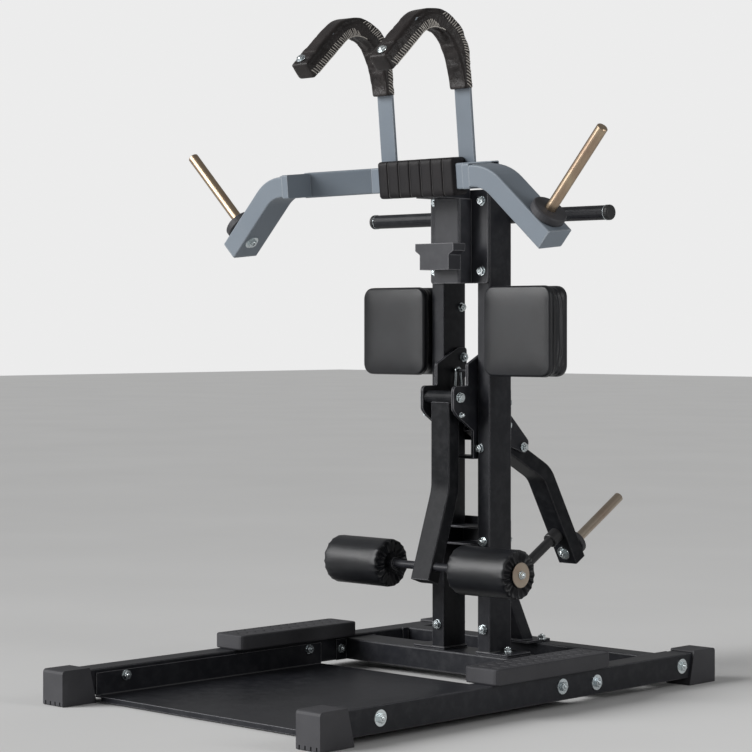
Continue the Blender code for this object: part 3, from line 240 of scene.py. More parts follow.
# Painted shade: the lever's and the weight arm's black coat is painted darker than the rest.
MATT_PAINTED_SHADE = powder_coat(
    "matt_painted_shade_powder_coat", rgb(0.006, 0.0065, 0.008), rgb(0.011, 0.012, 0.015), 0.42,
    rgb(0.34, 0.34, 0.36), 0.11
)
print("powder coats:", [m.name for m in (BLACK, GREY, SATIN_PAINTED_LIGHT, MATT_PAINTED_SHADE, WELD_PAINTED_HIGHLIGHT)])

# %% [markdown]
# ## Zinc, yellow zinc and bronze
# The bolts are bright zinc. The yoke's plate horns are yellow-passivated zinc, whose film
# drifts between straw and rose, and the weight horn's is a duller bronze. All are metals, so
# their colour lives in the reflection: the noise moves both the tint and the roughness.


# %% Plated metals
def plated(name, pale, deep, rough, drift=7.0):
    tree = Finish(name, metallic=1.0)
    film = tree.noise(drift, 4.0, 0.6, warp=0.6)
    draw = tree.noise(240.0, 3.0, 0.6)
    tint = tree.blend(tree.mask(film, 0.34, 0.68), pale, deep)
    worn = rough + (film - 0.5) * 0.20 + (draw - 0.5) * 0.12
    height = tree.cells(260.0) * 0.10 + draw * 0.5
    return tree.wear(tint, worn, tree.bump(height, 0.05, 0.0003, tree.soft_edge(0.0007)))


ZINC = plated("zinc_plate", rgb(0.80, 0.86, 0.87), rgb(0.62, 0.68, 0.71), 0.25)
GOLD = plated("yellow_zinc", rgb(0.53, 0.43, 0.30), rgb(0.40, 0.29, 0.21), 0.33, 11.0)
BRONZE = plated("bronze_zinc", rgb(0.50, 0.44, 0.36), rgb(0.42, 0.33, 0.26), 0.34, 9.0)
print("plated metals:", [m.name for m in (ZINC, GOLD, BRONZE)])

# %% [markdown]
# ## Rubber, moulded plastic, vinyl and leather
# Rubber boots are matt with a fine tooth. Upholstery vinyl has a pebble grain made of small
# cells and a soft gloss. The leather sleeves are browner with a larger grain and wear that
# catches the light, and the wrap's leather is more matt.


# %% Rubber and plastic
def moulded(name, dark, light, rough, tooth, height):
    tree = Finish(name, specular=0.4)
    cloud = tree.noise(9.0, 5.0, 0.6)
    colour = tree.blend(tree.mask(cloud, 0.3, 0.75), dark, light)
    grain = tree.bump(tree.noise(tooth, 3.0, 0.6), height, 0.0005, tree.soft_edge(0.0015))
    return tree.wear(colour, rough + (cloud - 0.5) * 0.16, grain)


RUBBER = moulded(
    "dark_rubber", rgb(0.038, 0.038, 0.043), rgb(0.058, 0.058, 0.064), 0.56, 900.0, 0.35
)
PLASTIC = moulded(
    "black_plastic", rgb(0.020, 0.020, 0.021), rgb(0.034, 0.034, 0.036), 0.42, 500.0, 0.15
)
print("moulded:", RUBBER.name, PLASTIC.name)


# %% Vinyl and leather
def hide(name, dark, light, rough, pebble, depth, wrinkled, specular=0.38):
    """Grain from cells of two sizes, with long soft creases between them."""
    tree = Finish(name, specular=specular)
    cloud = tree.noise(14.0, 4.0, 0.6)
    coarse = tree.mask(tree.cells(pebble, "DISTANCE_TO_EDGE"), 0.0, 0.16)
    fine = tree.mask(tree.cells(pebble * 2.7, "DISTANCE_TO_EDGE"), 0.0, 0.2)
    crease = tree.noise(30.0, 5.0, 0.65, warp=1.2)
    # The crease mask is wear: rubbed creases are lighter and smoother.
    wear_and_edge_highlight = tree.mask(crease, 0.48, 0.74)
    base = tree.blend(tree.mask(cloud, 0.3, 0.7), dark, light)
    height = coarse * 0.7 + fine * 0.3 + crease * wrinkled
    worn = rough + (cloud - 0.5) * 0.14 - wear_and_edge_highlight * 0.06
    colour = tree.blend(wear_and_edge_highlight * wrinkled * 0.5, base, light)
    return tree.wear(colour, worn, tree.bump(height, depth, 0.0007))


VINYL = hide(
    "black_vinyl", rgb(0.009, 0.0095, 0.011), rgb(0.016, 0.017, 0.020), 0.34, 620.0, 0.14, 0.06
)
LEATHER = hide(
    "brown_black_leather", rgb(0.008, 0.006, 0.006), rgb(0.026, 0.020, 0.019), 0.32,
    420.0, 0.30, 0.55
)
QUILT = hide(
    "quilted_leather", rgb(0.010, 0.009, 0.0105), rgb(0.017, 0.015, 0.016), 0.44,
    420.0, 0.22, 0.15, 0.2
)
QUILT["slot"] = "brown_black_leather"
print("hides:", VINYL.name, LEATHER.name, QUILT.name)


# %% Lacing thread and seam thread
def twisted(name, dark, light, slot):
    """Waxed thread: a fine twist along it and uneven dirt."""
    tree = Finish(name, sheen=0.2, specular=0.3, slot=slot)
    dirt = tree.noise(90.0, 4.0, 0.6)
    colour = tree.blend(tree.mask(dirt, 0.35, 0.7), dark, light)
    twist = tree.bump(tree.noise(1400.0, 2.0, 0.5), 0.4, 0.0002)
    return tree.wear(colour, 0.62 + (dirt - 0.5) * 0.2, twist)


LACE = twisted(
    "lacing_thread", rgb(0.50, 0.47, 0.43), rgb(0.78, 0.74, 0.68), "brown_black_leather"
)
SEAM = twisted("seam_thread", rgb(0.06, 0.06, 0.06), rgb(0.13, 0.125, 0.12), "black_vinyl")
print("threads:", LACE.name, SEAM.name)

# %% [markdown]
# ## Give the steel its finishes
# Every CAD piece already names a slot in the record. The finish of the same name goes on it,
# apart from the post, the lever and the weight arm, whose powder coat differs in gloss and in
# painted light: the post is painted lighter, a painted highlight, and the lever and the weight
# arm darker, a painted shade.

# %% Dress the CAD pieces
for part in frame["record"]["subparts"]:
    materials = nodes[part["node"]].data.materials
    materials.clear()
    materials.append(FINISHES[part["material_slot"]])
# Lighter and darker copies of the black coat: painted light on the post, painted shade on the lever
# and the weight arm.
glosses_and_painted_light = {"post_bracket": SATIN_PAINTED_LIGHT, "post_rest": SATIN_PAINTED_LIGHT, "curl_lever": MATT_PAINTED_SHADE, "weight_arm": MATT_PAINTED_SHADE}
for node, look in glosses_and_painted_light.items():
    nodes[node].data.materials[0] = look
print("dressed", len(nodes), "pieces in", len(FINISHES), "finishes")


# %% Place a finished piece
def linked(name, data):
    """A new object in the scene."""
    obj = bpy.data.objects.new(name, data)
    bpy.context.scene.collection.objects.link(obj)
    return obj


def piece(name, mesh, body, look, replaced=(), smooth=None):
    """Link a mesh whose place is already in its points, and let it ride on a body."""
    mesh.materials.clear()
    mesh.materials.append(look)
    if smooth is not None:
        mesh.shade_smooth()
        mesh.set_sharp_from_angle(angle=radians(smooth))
    obj = linked(name, mesh)
    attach(obj, body)
    if replaced:
        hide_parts(*replaced)
    return obj


def at(x, y, z):
    """A place measured from the middle of the columns' front faces."""
    return Vector((x, y + FRONT, z))


YOKE_LEAN = radians(5.5)
YOKE_FRAME = Matrix.Translation(at(0, -0.155, 1.222)) @ Matrix.Rotation(YOKE_LEAN, 4, "X")
print("the yoke leans", round(degrees(YOKE_LEAN), 1), "degrees")

# %% [markdown]
# ## Bolts
# Every bolt is the same idea: a round washer, a hexagon and the end of a thread. Geometry
# Nodes put one on each point of a small mesh. The point carries the direction the bolt faces
# and its sizes as attributes, so one tree serves every bolt on the station.


# %% A geometry tree with named inputs
class GeometryTree(Tree):
    """Its inputs are a mesh, named sizes and a finish, and its result is real and dressed."""

    def __init__(self, name, *sizes):
        self.group = bpy.data.node_groups.new(name, "GeometryNodeTree")
        super().__init__(self.group)
        sockets = [("Geometry", "Geometry")] + [(size, "Float") for size in sizes]
        for socket, kind in sockets + [("Finish", "Material")]:
            self.group.interface.new_socket(
                socket, in_out="INPUT", socket_type="NodeSocket" + kind
            )
        self.group.interface.new_socket(
            "Geometry", in_out="OUTPUT", socket_type="NodeSocketGeometry"
        )
        entry = self.nodes.new("NodeGroupInput")
        self.inlet = {s.name: Sock(self, s) for s in entry.outputs if s.name}

    def close(self, geometry):
        real = self.add("GeometryNodeRealizeInstances", None, {"Geometry": geometry})
        inputs = {"Geometry": real, "Material": self.inlet["Finish"]}
        dressed = self.add("GeometryNodeSetMaterial", None, inputs)
        self.links.new(dressed.output, self.nodes.new("NodeGroupOutput").inputs[0])
        return self.group


print("a geometry tree ends in real, dressed geometry")


# %% A tree of fasteners
def bolt_tree():
    tree = GeometryTree("bolts", "Washer thickness", "Head height")
    seat, height = tree.inlet["Washer thickness"], tree.inlet["Head height"]

    def stored(name, kind="FLOAT"):
        return tree.add("GeometryNodeInputNamedAttribute", {"data_type": kind}, {"Name": name})

    aim = {"Vector": stored("facing", "FLOAT_VECTOR")}
    spin = {"Axis": (0, 0, 1), "Angle": stored("spin")}
    turns = {
        "Rotation": tree.add("FunctionNodeAlignRotationToVector", {"axis": "Z"}, aim),
        "Rotate By": tree.add("FunctionNodeAxisAngleToRotation", None, spin),
    }
    turned = tree.add("FunctionNodeRotateRotation", {"rotation_space": "LOCAL"}, turns)

    def disc(sides, radius, top, depth, lift):
        sizes = {"Vertices": sides, "Radius Top": top, "Radius Bottom": radius, "Depth": depth}
        cone = tree.add("GeometryNodeMeshCone", None, sizes)
        up = tree.add("ShaderNodeCombineXYZ", None, {"Z": lift})
        return tree.add("GeometryNodeTransform", None, {"Geometry": cone, "Translation": up})

    def spread(shape, width):
        wide = tree.add("ShaderNodeCombineXYZ", None, {"X": width, "Y": width, "Z": 1.0})
        inputs = {"Points": tree.inlet["Geometry"], "Instance": shape}
        inputs |= {"Rotation": turned, "Scale": wide}
        return tree.add("GeometryNodeInstanceOnPoints", None, inputs)

    washer = disc(40, 1.0, 0.965, seat, 0.0)
    head = disc(6, 1.0, 1.0, height * 0.86, seat)
    crown = disc(24, 0.86, 0.78, height * 0.14, seat + height * 0.86)
    thread_end = disc(16, 0.50, 0.44, height * 0.30, seat + height)
    dish = disc(16, 0.42, 0.30, height * 0.10, seat + height * 1.30)
    parts = [spread(washer, stored("washer"))]
    parts += [spread(shape, stored("head")) for shape in (head, crown, thread_end, dish)]
    joined = tree.nodes.new("GeometryNodeJoinGeometry")
    for part in parts:
        tree.links.new(part.output, joined.inputs[0])
    return tree.close(Sock(tree, joined.outputs[0]))


BOLTS = bolt_tree()
print("the bolt tree has", len(BOLTS.nodes), "nodes")


# %% Run a tree on a mesh and keep the plain result
def baked(obj):
    """What an object's modifiers make of it, as a plain mesh. The object itself goes."""
    graph = bpy.context.evaluated_depsgraph_get()
    result = bpy.data.meshes.new_from_object(obj.evaluated_get(graph))
    bpy.data.objects.remove(obj, do_unlink=True)
    return result


def grown(name, source, group, values, body, look, smooth=30):
    """Evaluate a geometry tree on a mesh and keep its result as an ordinary piece."""
    seed = linked(name + "_seed", source)
    change = seed.modifiers.new("Grow", "NODES")
    change.node_group = group
    named = {s.name: s.identifier for s in group.interface.items_tree if s.item_type == "SOCKET"}
    for socket, value in (values | {"Finish": look}).items():
        change[named[socket]] = value
    result = baked(seed)
    result.name = name
    return piece(name, result, body, look, smooth=smooth)


def bolts(name, body, listed, washer_thickness=0.0025, head_height=0.0075):
    """listed holds (place, facing, washer radius, head radius)."""
    source = bpy.data.meshes.new(name + "_points")
    source.from_pydata([tuple(place) for place, *_ in listed], [], [])
    facing = source.attributes.new("facing", "FLOAT_VECTOR", "POINT")
    for i, (_, way, _, _) in enumerate(listed):
        facing.data[i].vector = Vector(way).normalized()
    chance = random.Random(7)
    for key, column in (("washer", 2), ("head", 3), ("spin", None)):
        values = source.attributes.new(key, "FLOAT", "POINT")
        for i, row in enumerate(listed):
            values.data[i].value = row[column] if column else chance.uniform(0, pi / 3)
    sizes = {"Washer thickness": washer_thickness, "Head height": head_height}
    grown(name, source, BOLTS, sizes, body, ZINC)
    print(name, "has", len(listed), "bolts")


# %% [markdown]
# ## Where the bolts go
# The places come from the pieces they hold: the rails, the columns, the brackets and the
# foot plates. Large washers spread the load on the rails and on the yoke's arms.

# %% Bolts on the base
LARGE, SMALL = 0.0185, 0.0125
rail_in, rail_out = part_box("rail_right")[0].x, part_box("rail_right")[1].x
plate_in = rail_in - 0.0035
OUTER = ((-0.750, 0.050), (-0.152, 0.050), (-0.028, 0.046), (0.300, 0.049))
INNER = ((-0.7427, 0.0547), (-0.1445, 0.0553), (-0.028, 0.046), (0.305, 0.049))
listed = []
for _, sign in SIDES:
    listed += [(at(sign * rail_out, y, z), (sign, 0, 0), LARGE, 0.0110) for y, z in OUTER]
    listed += [(at(sign * plate_in, y, z), (-sign, 0, 0), SMALL, 0.0110) for y, z in INNER]
bolts("rail_bolts", "frame_body", listed)

# %% Bolts on the columns
COLUMN_X, COLUMN_REAR, PLATE = 0.075, FRONT + 0.0816, 0.0053
COLUMN_WASHER, COLUMN_HEAD = 0.0122, 0.0105
listed = []
for _, sign in SIDES:
    x = sign * COLUMN_X
    for z, front in ((0.132, 0.0), (0.345, 0.0), (1.002, -PLATE), (1.172, -PLATE)):
        listed.append((at(x, front, z), (0, -1, 0), COLUMN_WASHER, COLUMN_HEAD))
        back = PLATE if z == 0.345 else 0.0
        rear = Vector((x, COLUMN_REAR + back, z))
        listed.append((rear, (0, 1, 0), COLUMN_WASHER, COLUMN_HEAD))
    for z in (0.625, 0.680):
        rear = Vector((x, COLUMN_REAR + PLATE, z))
        listed.append((rear, (0, 1, 0), COLUMN_WASHER, COLUMN_HEAD))
bolts("column_bolts", "frame_body", listed)

# %% [markdown]
# ## Thread and weld beads
# Thread is a thin tube along a line. A weld is a row of overlapping beads along one. Both are
# Geometry Nodes trees that read the edges of a small mesh, so a seam is only a list of points.


# %% Trees of thread and of beads
def thread_tree():
    tree = GeometryTree("thread", "Thickness")
    line = tree.add("GeometryNodeMeshToCurve", None, {"Mesh": tree.inlet["Geometry"]})
    sizes = {"Resolution": 6, "Radius": tree.inlet["Thickness"]}
    section = tree.add("GeometryNodeCurvePrimitiveCircle", None, sizes)
    sweep = {"Curve": line, "Profile Curve": section, "Fill Caps": True}
    return tree.close(tree.add("GeometryNodeCurveToMesh", None, sweep))


def bead_tree():
    tree = GeometryTree("beads", "Step", "Thickness", "Length")
    line = tree.add("GeometryNodeMeshToCurve", None, {"Mesh": tree.inlet["Geometry"]})
    steps = {"Curve": line, "Length": tree.inlet["Step"]}
    walk = tree.add("GeometryNodeCurveToPoints", {"mode": "LENGTH"}, steps)
    turn = Sock(tree, walk.output.node.outputs["Rotation"])
    ball = {"Segments": 8, "Rings": 5, "Radius": 1.0}
    spread = {2: 0.78, 3: 1.0, "Seed": 5}
    uneven = tree.add("FunctionNodeRandomValue", {"data_type": "FLOAT"}, spread, 1)
    thick = tree.inlet["Thickness"] * uneven
    size = {"X": thick, "Y": thick, "Z": tree.inlet["Length"]}
    inputs = {
        "Points": walk,
        "Instance": tree.add("GeometryNodeMeshUVSphere", None, ball),
        "Rotation": turn,
        "Scale": tree.add("ShaderNodeCombineXYZ", None, size),
    }
    return tree.close(tree.add("GeometryNodeInstanceOnPoints", None, inputs))


THREAD = thread_tree()
BEADS = bead_tree()
print("trees:", THREAD.name, BEADS.name)


# %% Lines that the trees follow
def line_mesh(name, lines, closed=False):
    points = []
    edges = []
    for line in lines:
        first = len(points)
        points += [tuple(point) for point in line]
        edges += [(first + i, first + i + 1) for i in range(len(line) - 1)]
        if closed:
            edges.append((len(points) - 1, first))
    source = bpy.data.meshes.new(name + "_lines")
    source.from_pydata(points, edges, [])
    return source


def thread(name, body, lines, radius, look, closed=False):
    grown(name, line_mesh(name, lines, closed), THREAD, {"Thickness": radius}, body, look, 60)
    print(name, "follows", len(lines), "lines")


def beads(name, body, lines, look=WELD_PAINTED_HIGHLIGHT, radius=0.0022, step=0.0028):
    sizes = {"Step": step, "Thickness": radius, "Length": radius * 0.85}
    grown(name, line_mesh(name, lines), BEADS, sizes, body, look, 60)
    print(name, "runs along", len(lines), "lines")


print("threads and beads can follow lists of points")


# %% [markdown]
# ## Cloth that is blown up from inside
# Foam fills its cover, so a cushion is a cover under pressure that its seams hold back. The
# cover starts as an even mesh of rings. The points of its seams are held, the rest swells
# for twenty frames, and no point may travel past a cap. A cover cut slightly large for its
# foam, which is what slack stands for, shows soft folds.


# %% Mesh helpers
def kept(name, mesh):
    """Turn a bmesh into plain data."""
    data = bpy.data.meshes.new(name)
    mesh.to_mesh(data)
    mesh.free()
    return data


def closed_skin(name, mesh):
    """Point a closed shape's faces outwards and keep it."""
    bmesh.ops.recalc_face_normals(mesh, faces=mesh.faces)
    return kept(name, mesh)


def bridge(mesh, *rings):
    """Join each ring of points to the next by a band of quads."""
    for first, last in zip(rings, rings[1:]):
        for i in range(len(first)):
            j = (i + 1) % len(first)
            mesh.faces.new((first[i], first[j], last[j], last[i]))


def fan(mesh, ring, place):
    """Close a ring of points with triangles round its middle."""
    centre = mesh.verts.new(place)
    for i in range(len(ring)):
        mesh.faces.new((ring[i], ring[(i + 1) % len(ring)], centre))


def surface(data):
    """A tree that finds where a ray meets a mesh."""
    points = [vertex.co for vertex in data.vertices]
    return BVHTree.FromPolygons(points, [tuple(face.vertices) for face in data.polygons])


def evaluated(name, data, kind, settings):
    """Run one modifier on a mesh and return a plain mesh."""
    obj = linked(name + "_work", data)
    step = obj.modifiers.new(kind, kind)
    for key, value in settings.items():
        setattr(step, key, value)
    return baked(obj)


def refined(name, data):
    return evaluated(name, data, "SUBSURF", {"levels": 1, "render_levels": 1})


def mirrored(name, data):
    """The same mesh on the other side of the station."""
    mesh = bmesh.new()
    mesh.from_mesh(data)
    for vertex in mesh.verts:
        vertex.co.x = -vertex.co.x
    bmesh.ops.reverse_faces(mesh, faces=mesh.faces)
    return kept(name, mesh)


def smoothstep(low, high, value):
    share = min(max((value - low) / (high - low), 0.0), 1.0)
    return share * share * (3 - 2 * share)


def bell(distance, width):
    return exp(-((distance / width) ** 2))


print("rings, fans, rays and mirrors are ready")

# %% Cloth
CLOTH_FRAMES = 20
CLOTH = {"quality": 5, "mass": 0.15, "bending_stiffness": 0.4, "use_pressure": True}
CLOTH |= {"tension_stiffness": 12.0, "compression_stiffness": 12.0, "vertex_group_mass": "held"}


def swollen(name, data, hold, cap, pressure, slack):
    """hold(point) is 1 where a seam holds the cover and 0 where it is free."""
    start = [vertex.co.copy() for vertex in data.vertices]
    obj = linked(name + "_cloth", data)
    held = obj.vertex_groups.new(name="held")
    held.add([i for i, point in enumerate(start) if hold(point) > 0], 1.0, "REPLACE")
    cloth = obj.modifiers.new("Cloth", "CLOTH")
    settings = CLOTH | {"uniform_pressure_force": pressure, "shrink_min": -slack}
    for key, value in settings.items():
        setattr(cloth.settings, key, value)
    cloth.settings.effector_weights.gravity = 0
    cloth.collision_settings.use_collision = False
    cloth.point_cache.frame_start = 1
    cloth.point_cache.frame_end = CLOTH_FRAMES
    for number in range(1, CLOTH_FRAMES + 1):
        bpy.context.scene.frame_set(number)
    result = baked(obj)
    bpy.context.scene.frame_set(1)
    ways = [vertex.co - first for vertex, first in zip(result.vertices, start)]
    for vertex, first, way in zip(result.vertices, start, ways):
        if way.length > cap:
            vertex.co = first + way * (cap / way.length)
    furthest = max(way.length for way in ways) * 1000
    print(name, "swelled by", round(furthest, 1), "mm, capped at", round(cap * 1000, 1), "mm")
    return result


print("cloth is", "simulated")

# %% [markdown]
# ## The thigh pads
# Each pad is a foam slab on a board in a sewn cover. A seam runs round the cover just behind
# the rim, so the front panel stays flat and tight, and the side band is drawn in and loose.
# The cover is laid out in even rings from the middle of the front, over the rim, along the
# band and round the board. Panel, seam and board are held, and the rest is blown up.

# %% The outline of a pad
PAD_RADIUS, PAD_ROUND = 0.027, 176
RIM, CROWN = 0.0065, 0.0036
BAND_START, BAND_DEPTH = 0.0192, 0.0348
pad_low, pad_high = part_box("thigh_pad_right")
pad_mid = (pad_low + pad_high) / 2


def even_steps(points, step):
    """Walk round a closed line and return points one step apart."""
    line = [Vector(point) for point in points]
    line.append(line[0])
    walked = [line[0].copy()]
    left = step
    for first, last in zip(line, line[1:]):
        length = (last - first).length
        along = left
        while along <= length:
            walked.append(first.lerp(last, along / length))
            along += step
        left = along - length
    return walked


def spread_round(points, count):
    """Points evenly spread round a closed line."""
    total = sum((b - a).length for a, b in zip(points, points[1:] + points[:1]))
    return even_steps(points, total / count)[:count]


def corner(x, y, radius, start, steps):
    """A quarter of a circle, from a number of quarter turns on."""
    turns = [(start + step / steps) * pi / 2 for step in range(steps + 1)]
    return [Vector((x + radius * cos(t), y + radius * sin(t))) for t in turns]


def pad_outline(inset, count):
    """Evenly spread (x, z) round the pad, a given way inside its outline."""
    points = []
    for quarter, (side_x, side_z) in enumerate(((1, 1), (-1, 1), (-1, -1), (1, -1))):
        x = side_x * ((pad_high.x - pad_low.x) / 2 - PAD_RADIUS)
        z = side_z * ((pad_high.z - pad_low.z) / 2 - PAD_RADIUS)
        points += corner(x, z, PAD_RADIUS - inset, quarter, 12)
    return [(pad_mid.x + p.x, pad_mid.z + p.y) for p in spread_round(points, count)]


def pad_rows():
    """(share of the ring, inset, depth) from the middle of the front to that of the back."""
    shares = (0.08, 0.2, 0.33, 0.46, 0.58, 0.69, 0.79, 0.87, 0.94)
    rows = [(share, RIM, CROWN * share**6) for share in shares]
    for step in range(9):
        turn = pi / 2 * step / 8
        rows.append((1.0, RIM * (1 - sin(turn)), CROWN + 0.0070 * (1 - cos(turn))))
    rows += [(1.0, 0.0, 0.0135), (1.0, 0.0002, 0.0160), (1.0, 0.0014, 0.0172)]
    rows += [(1.0, 0.0014, 0.0180), (1.0, 0.0004, BAND_START)]
    for share in [step / 15 for step in range(1, 15)]:
        inset = 0.0004 + 0.0056 * sin(pi * share) ** 0.7
        rows.append((1.0, inset, BAND_START + BAND_DEPTH * share))
    rows += [(1.0, 0.0010, 0.0540), (1.0, 0.0001, 0.0575), (1.0, 0.0, 0.0655)]
    rows += [(1.0, 0.0012, 0.0688)] + [(share, 0.0045, 0.0699) for share in (1.0, 0.8, 0.5, 0.2)]
    return rows


print("a pad's cover has", len(pad_rows()), "rings of", PAD_ROUND, "points")

# %% Sew the pads
mesh = bmesh.new()
rings = []
for share, inset, depth in pad_rows():
    ring = []
    loose = smoothstep(0.020, 0.027, depth) * smoothstep(0.055, 0.048, depth)
    for i, (x, z) in enumerate(pad_outline(inset, PAD_ROUND)):
        turn = 2 * pi * i / PAD_ROUND
        fold = sin(depth * 560 + 1.9 * sin(3 * turn + 0.6) + 1.1 * sin(8 * turn))
        pull = 0.0011 * loose * fold * (0.55 + 0.45 * sin(5 * turn + 1.2))
        way = Vector((x - pad_mid.x, z - pad_mid.z))
        place = way * share + way.normalized() * pull
        spot = (pad_mid.x + place.x, pad_low.y + depth, pad_mid.z + place.y)
        ring.append(mesh.verts.new(spot))
    rings.append(ring)
bridge(mesh, *rings)
for ring in (rings[0], rings[-1]):
    fan(mesh, ring, (pad_mid.x, ring[0].co.y, pad_mid.z))
cover = closed_skin("pad_cover", mesh)


def pad_hold(point):
    depth = point.y - pad_low.y
    return 1.0 if depth < 0.0190 or depth > 0.0530 else 0.0


cover = swollen("pad", cover, pad_hold, 0.0016, pressure=4.0, slack=0.02)
for axis in (0, 2):
    low, high = (pick(v.co[axis] for v in cover.vertices) for pick in (min, max))
    room = pad_high[axis] - pad_low[axis]
    for vertex in cover.vertices:
        vertex.co[axis] = pad_low[axis] + (vertex.co[axis] - low) * room / (high - low)
cover = refined("pad", cover)
print("each pad has", len(cover.vertices), "points")

# %% [markdown]
# The piping and the stitches of the pads lie on the swollen cover. Each of their points is
# found by looking for the surface from outside. The left pad mirrors the right one.

# %% Pipe and stitch the pads
SEAM_Y, STITCH = pad_low.y + 0.0175, 0.0056
pad_skin = surface(cover)


def on_pad(x, y, z, lift):
    """The point of the pad's side that a place outside it looks at."""
    away = Vector((x - pad_mid.x, 0, z - pad_mid.z)).normalized()
    hit, normal, _, _ = pad_skin.ray_cast(Vector((x, y, z)) + away * 0.02, -away)
    return hit + normal * lift if hit else Vector((x, y, z))


def flipped(lines):
    """The same lines on the other side of the station."""
    return [[Vector((-p.x, p.y, p.z)) for p in line] for line in lines]


edge = pad_outline(0.0, 220)
rim = [on_pad(x, SEAM_Y, z, 0.0006) for x, z in edge]
walk = even_steps([on_pad(x, SEAM_Y + 0.0046, z, 0.0003) for x, z in edge], STITCH)
dashes = [(spot, spot.lerp(after, 0.62)) for spot, after in zip(walk, walk[1:])]
for side, sign in SIDES:
    data = cover if sign > 0 else mirrored("pad_left", cover)
    pad = piece(f"pad_cover_{side}", data, "frame_body", VINYL, (f"thigh_pad_{side}",), 70)
    place = [rim] + dashes if sign > 0 else flipped([rim] + dashes)
    thread(f"pad_piping_{side}", "frame_body", place[:1], 0.0014, VINYL, closed=True)
    thread(f"pad_stitches_{side}", "frame_body", place[1:], 0.0006, SEAM)

# %% [markdown]
# ## The rollers
# A roller is a foam tube in a vinyl sock. The sock is gathered at each end and tucked under
# the disc, which makes a ring of pleats whose ridges catch the light. The shape is a formula:
# a profile along the axle, and on its ends pleats of slightly unlike width. A row of the
# profile is the inset from the end, the radius, and the pleats' height across and outwards.

# %% The profile of a roller
ROLLER_RADIUS, PLEATS, ROUND = 0.0586, 18, 216
PROFILE = (
    (0.0040, 0.0262, 0.0, 0.0),
    (0.0022, 0.0300, 0.0038, 0.0),
    (0.0012, 0.0345, 0.0062, 0.0),
    (0.0006, 0.0390, 0.0076, 0.0),
    (0.0002, 0.0430, 0.0082, 0.0),
    (0.0000, 0.0470, 0.0078, 0.0),
    (0.0003, 0.0508, 0.0066, 0.0003),
    (0.0012, 0.0543, 0.0044, 0.0008),
    (0.0034, 0.0570, 0.0018, 0.0012),
    (0.0062, 0.0583, 0.0004, 0.0010),
    (0.0100, 0.0587, 0.0, 0.0005),
    (0.0200, 0.0587, 0.0, 0.0001),
)
roller_low, roller_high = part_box("roller_right")
disc_low, disc_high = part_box("roller_disc_right")
axle_y = (disc_low.y + disc_high.y) / 2
axle_z = (disc_low.z + disc_high.z) / 2
roller_length = roller_high.x - roller_low.x
roller_mid = (roller_low.x + roller_high.x) / 2
rows = [(*row, 3.7) for row in PROFILE]
rows += [(0.030 + 0.0062 * step, ROLLER_RADIUS, 0.0, 0.0, 1.3) for step in range(21)]
rows += [(roller_length - i, radius, -wide, out, 1.3) for i, radius, wide, out in PROFILE[::-1]]
print("a roller has", len(rows), "rings of", ROUND, "points")


# %% Gather the roller covers
def pleat(turn, seed):
    """From 0 in a fold to 1 on a narrow ridge, with pleats of unlike width."""
    drift = 0.16 * sin(3 * turn + seed) + 0.10 * sin(7 * turn + 2.1 * seed)
    return (1 - abs(sin(PLEATS / 2 * (turn + drift / 3)))) ** 0.9


mesh = bmesh.new()
rings = []
for inset, radius, across, out, seed in rows:
    ring = []
    for step in range(ROUND):
        turn = 2 * pi * step / ROUND
        fold = 1 - pleat(turn, seed)
        ripple = 0.00010 * sin(4 * turn + inset * 30)
        ripple = ripple + 0.00006 * sin(9 * turn - inset * 50)
        wide = radius - fold * out + (ripple if radius > 0.058 else 0.0)
        x = roller_low.x + inset + fold * across
        y, z = axle_y + wide * cos(turn), axle_z + wide * sin(turn)
        ring.append(mesh.verts.new((x, y, z)))
    rings.append(ring)
bridge(mesh, *rings)
for ring, tuck in ((rings[0], 0.012), (rings[-1], -0.012)):
    inside = []
    for x, y, z in [vertex.co for vertex in ring]:
        spot = (x + tuck, axle_y + (y - axle_y) * 0.62, axle_z + (z - axle_z) * 0.62)
        inside.append(mesh.verts.new(spot))
    bridge(mesh, ring, inside)
    fan(mesh, inside, (ring[0].co.x + tuck, axle_y, axle_z))


def roller_hold(point):
    return 1.0 if abs(point.x - roller_mid) > roller_length / 2 - 0.012 else 0.0


sock = closed_skin("roller_sock", mesh)
sock = swollen("roller", sock, roller_hold, 0.0002, pressure=3.0, slack=-0.003)
for side, sign in SIDES:
    data = sock if sign > 0 else mirrored("roller_left", sock)
    node = f"roller_{side}"
    roll = piece(f"roller_cover_{side}", data, node + "_body", VINYL, (node,), 70)
print("each roller has", PLEATS, "pleats at each end")

# %% [markdown]
# ## The rubber boots
# The two boots at the front have four short slots cut into the lower edge of their front face.

# %% Cut the slots of the boots
SLOTS, SLOT_SIZE = (-0.0255, -0.0085, 0.0085, 0.0255), (0.0036, 0.012, 0.020)
for side, _ in SIDES:
    node = f"foot_front_{side}"
    low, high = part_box(node)
    slots = bmesh.new()
    for x in SLOTS:
        cube = bmesh.ops.create_cube(slots, size=1.0)["verts"]
        bmesh.ops.scale(slots, vec=SLOT_SIZE, verts=cube)
        bmesh.ops.translate(slots, vec=((low.x + high.x) / 2 + x, low.y, 0.0), verts=cube)
    cutter = linked("slots", kept("slots", slots))
    boot = bmesh.new()
    boot.from_mesh(nodes[node].data)
    bmesh.ops.remove_doubles(boot, verts=boot.verts, dist=0.00001)
    how = {"operation": "DIFFERENCE", "solver": "EXACT", "object": cutter}
    cut = evaluated(node, kept(node, boot), "BOOLEAN", how)
    bpy.data.objects.remove(cutter, do_unlink=True)
    piece(f"boot_front_{side}", cut, "frame_body", RUBBER, (node,))
    print(node, "now has", len(cut.vertices), "points")

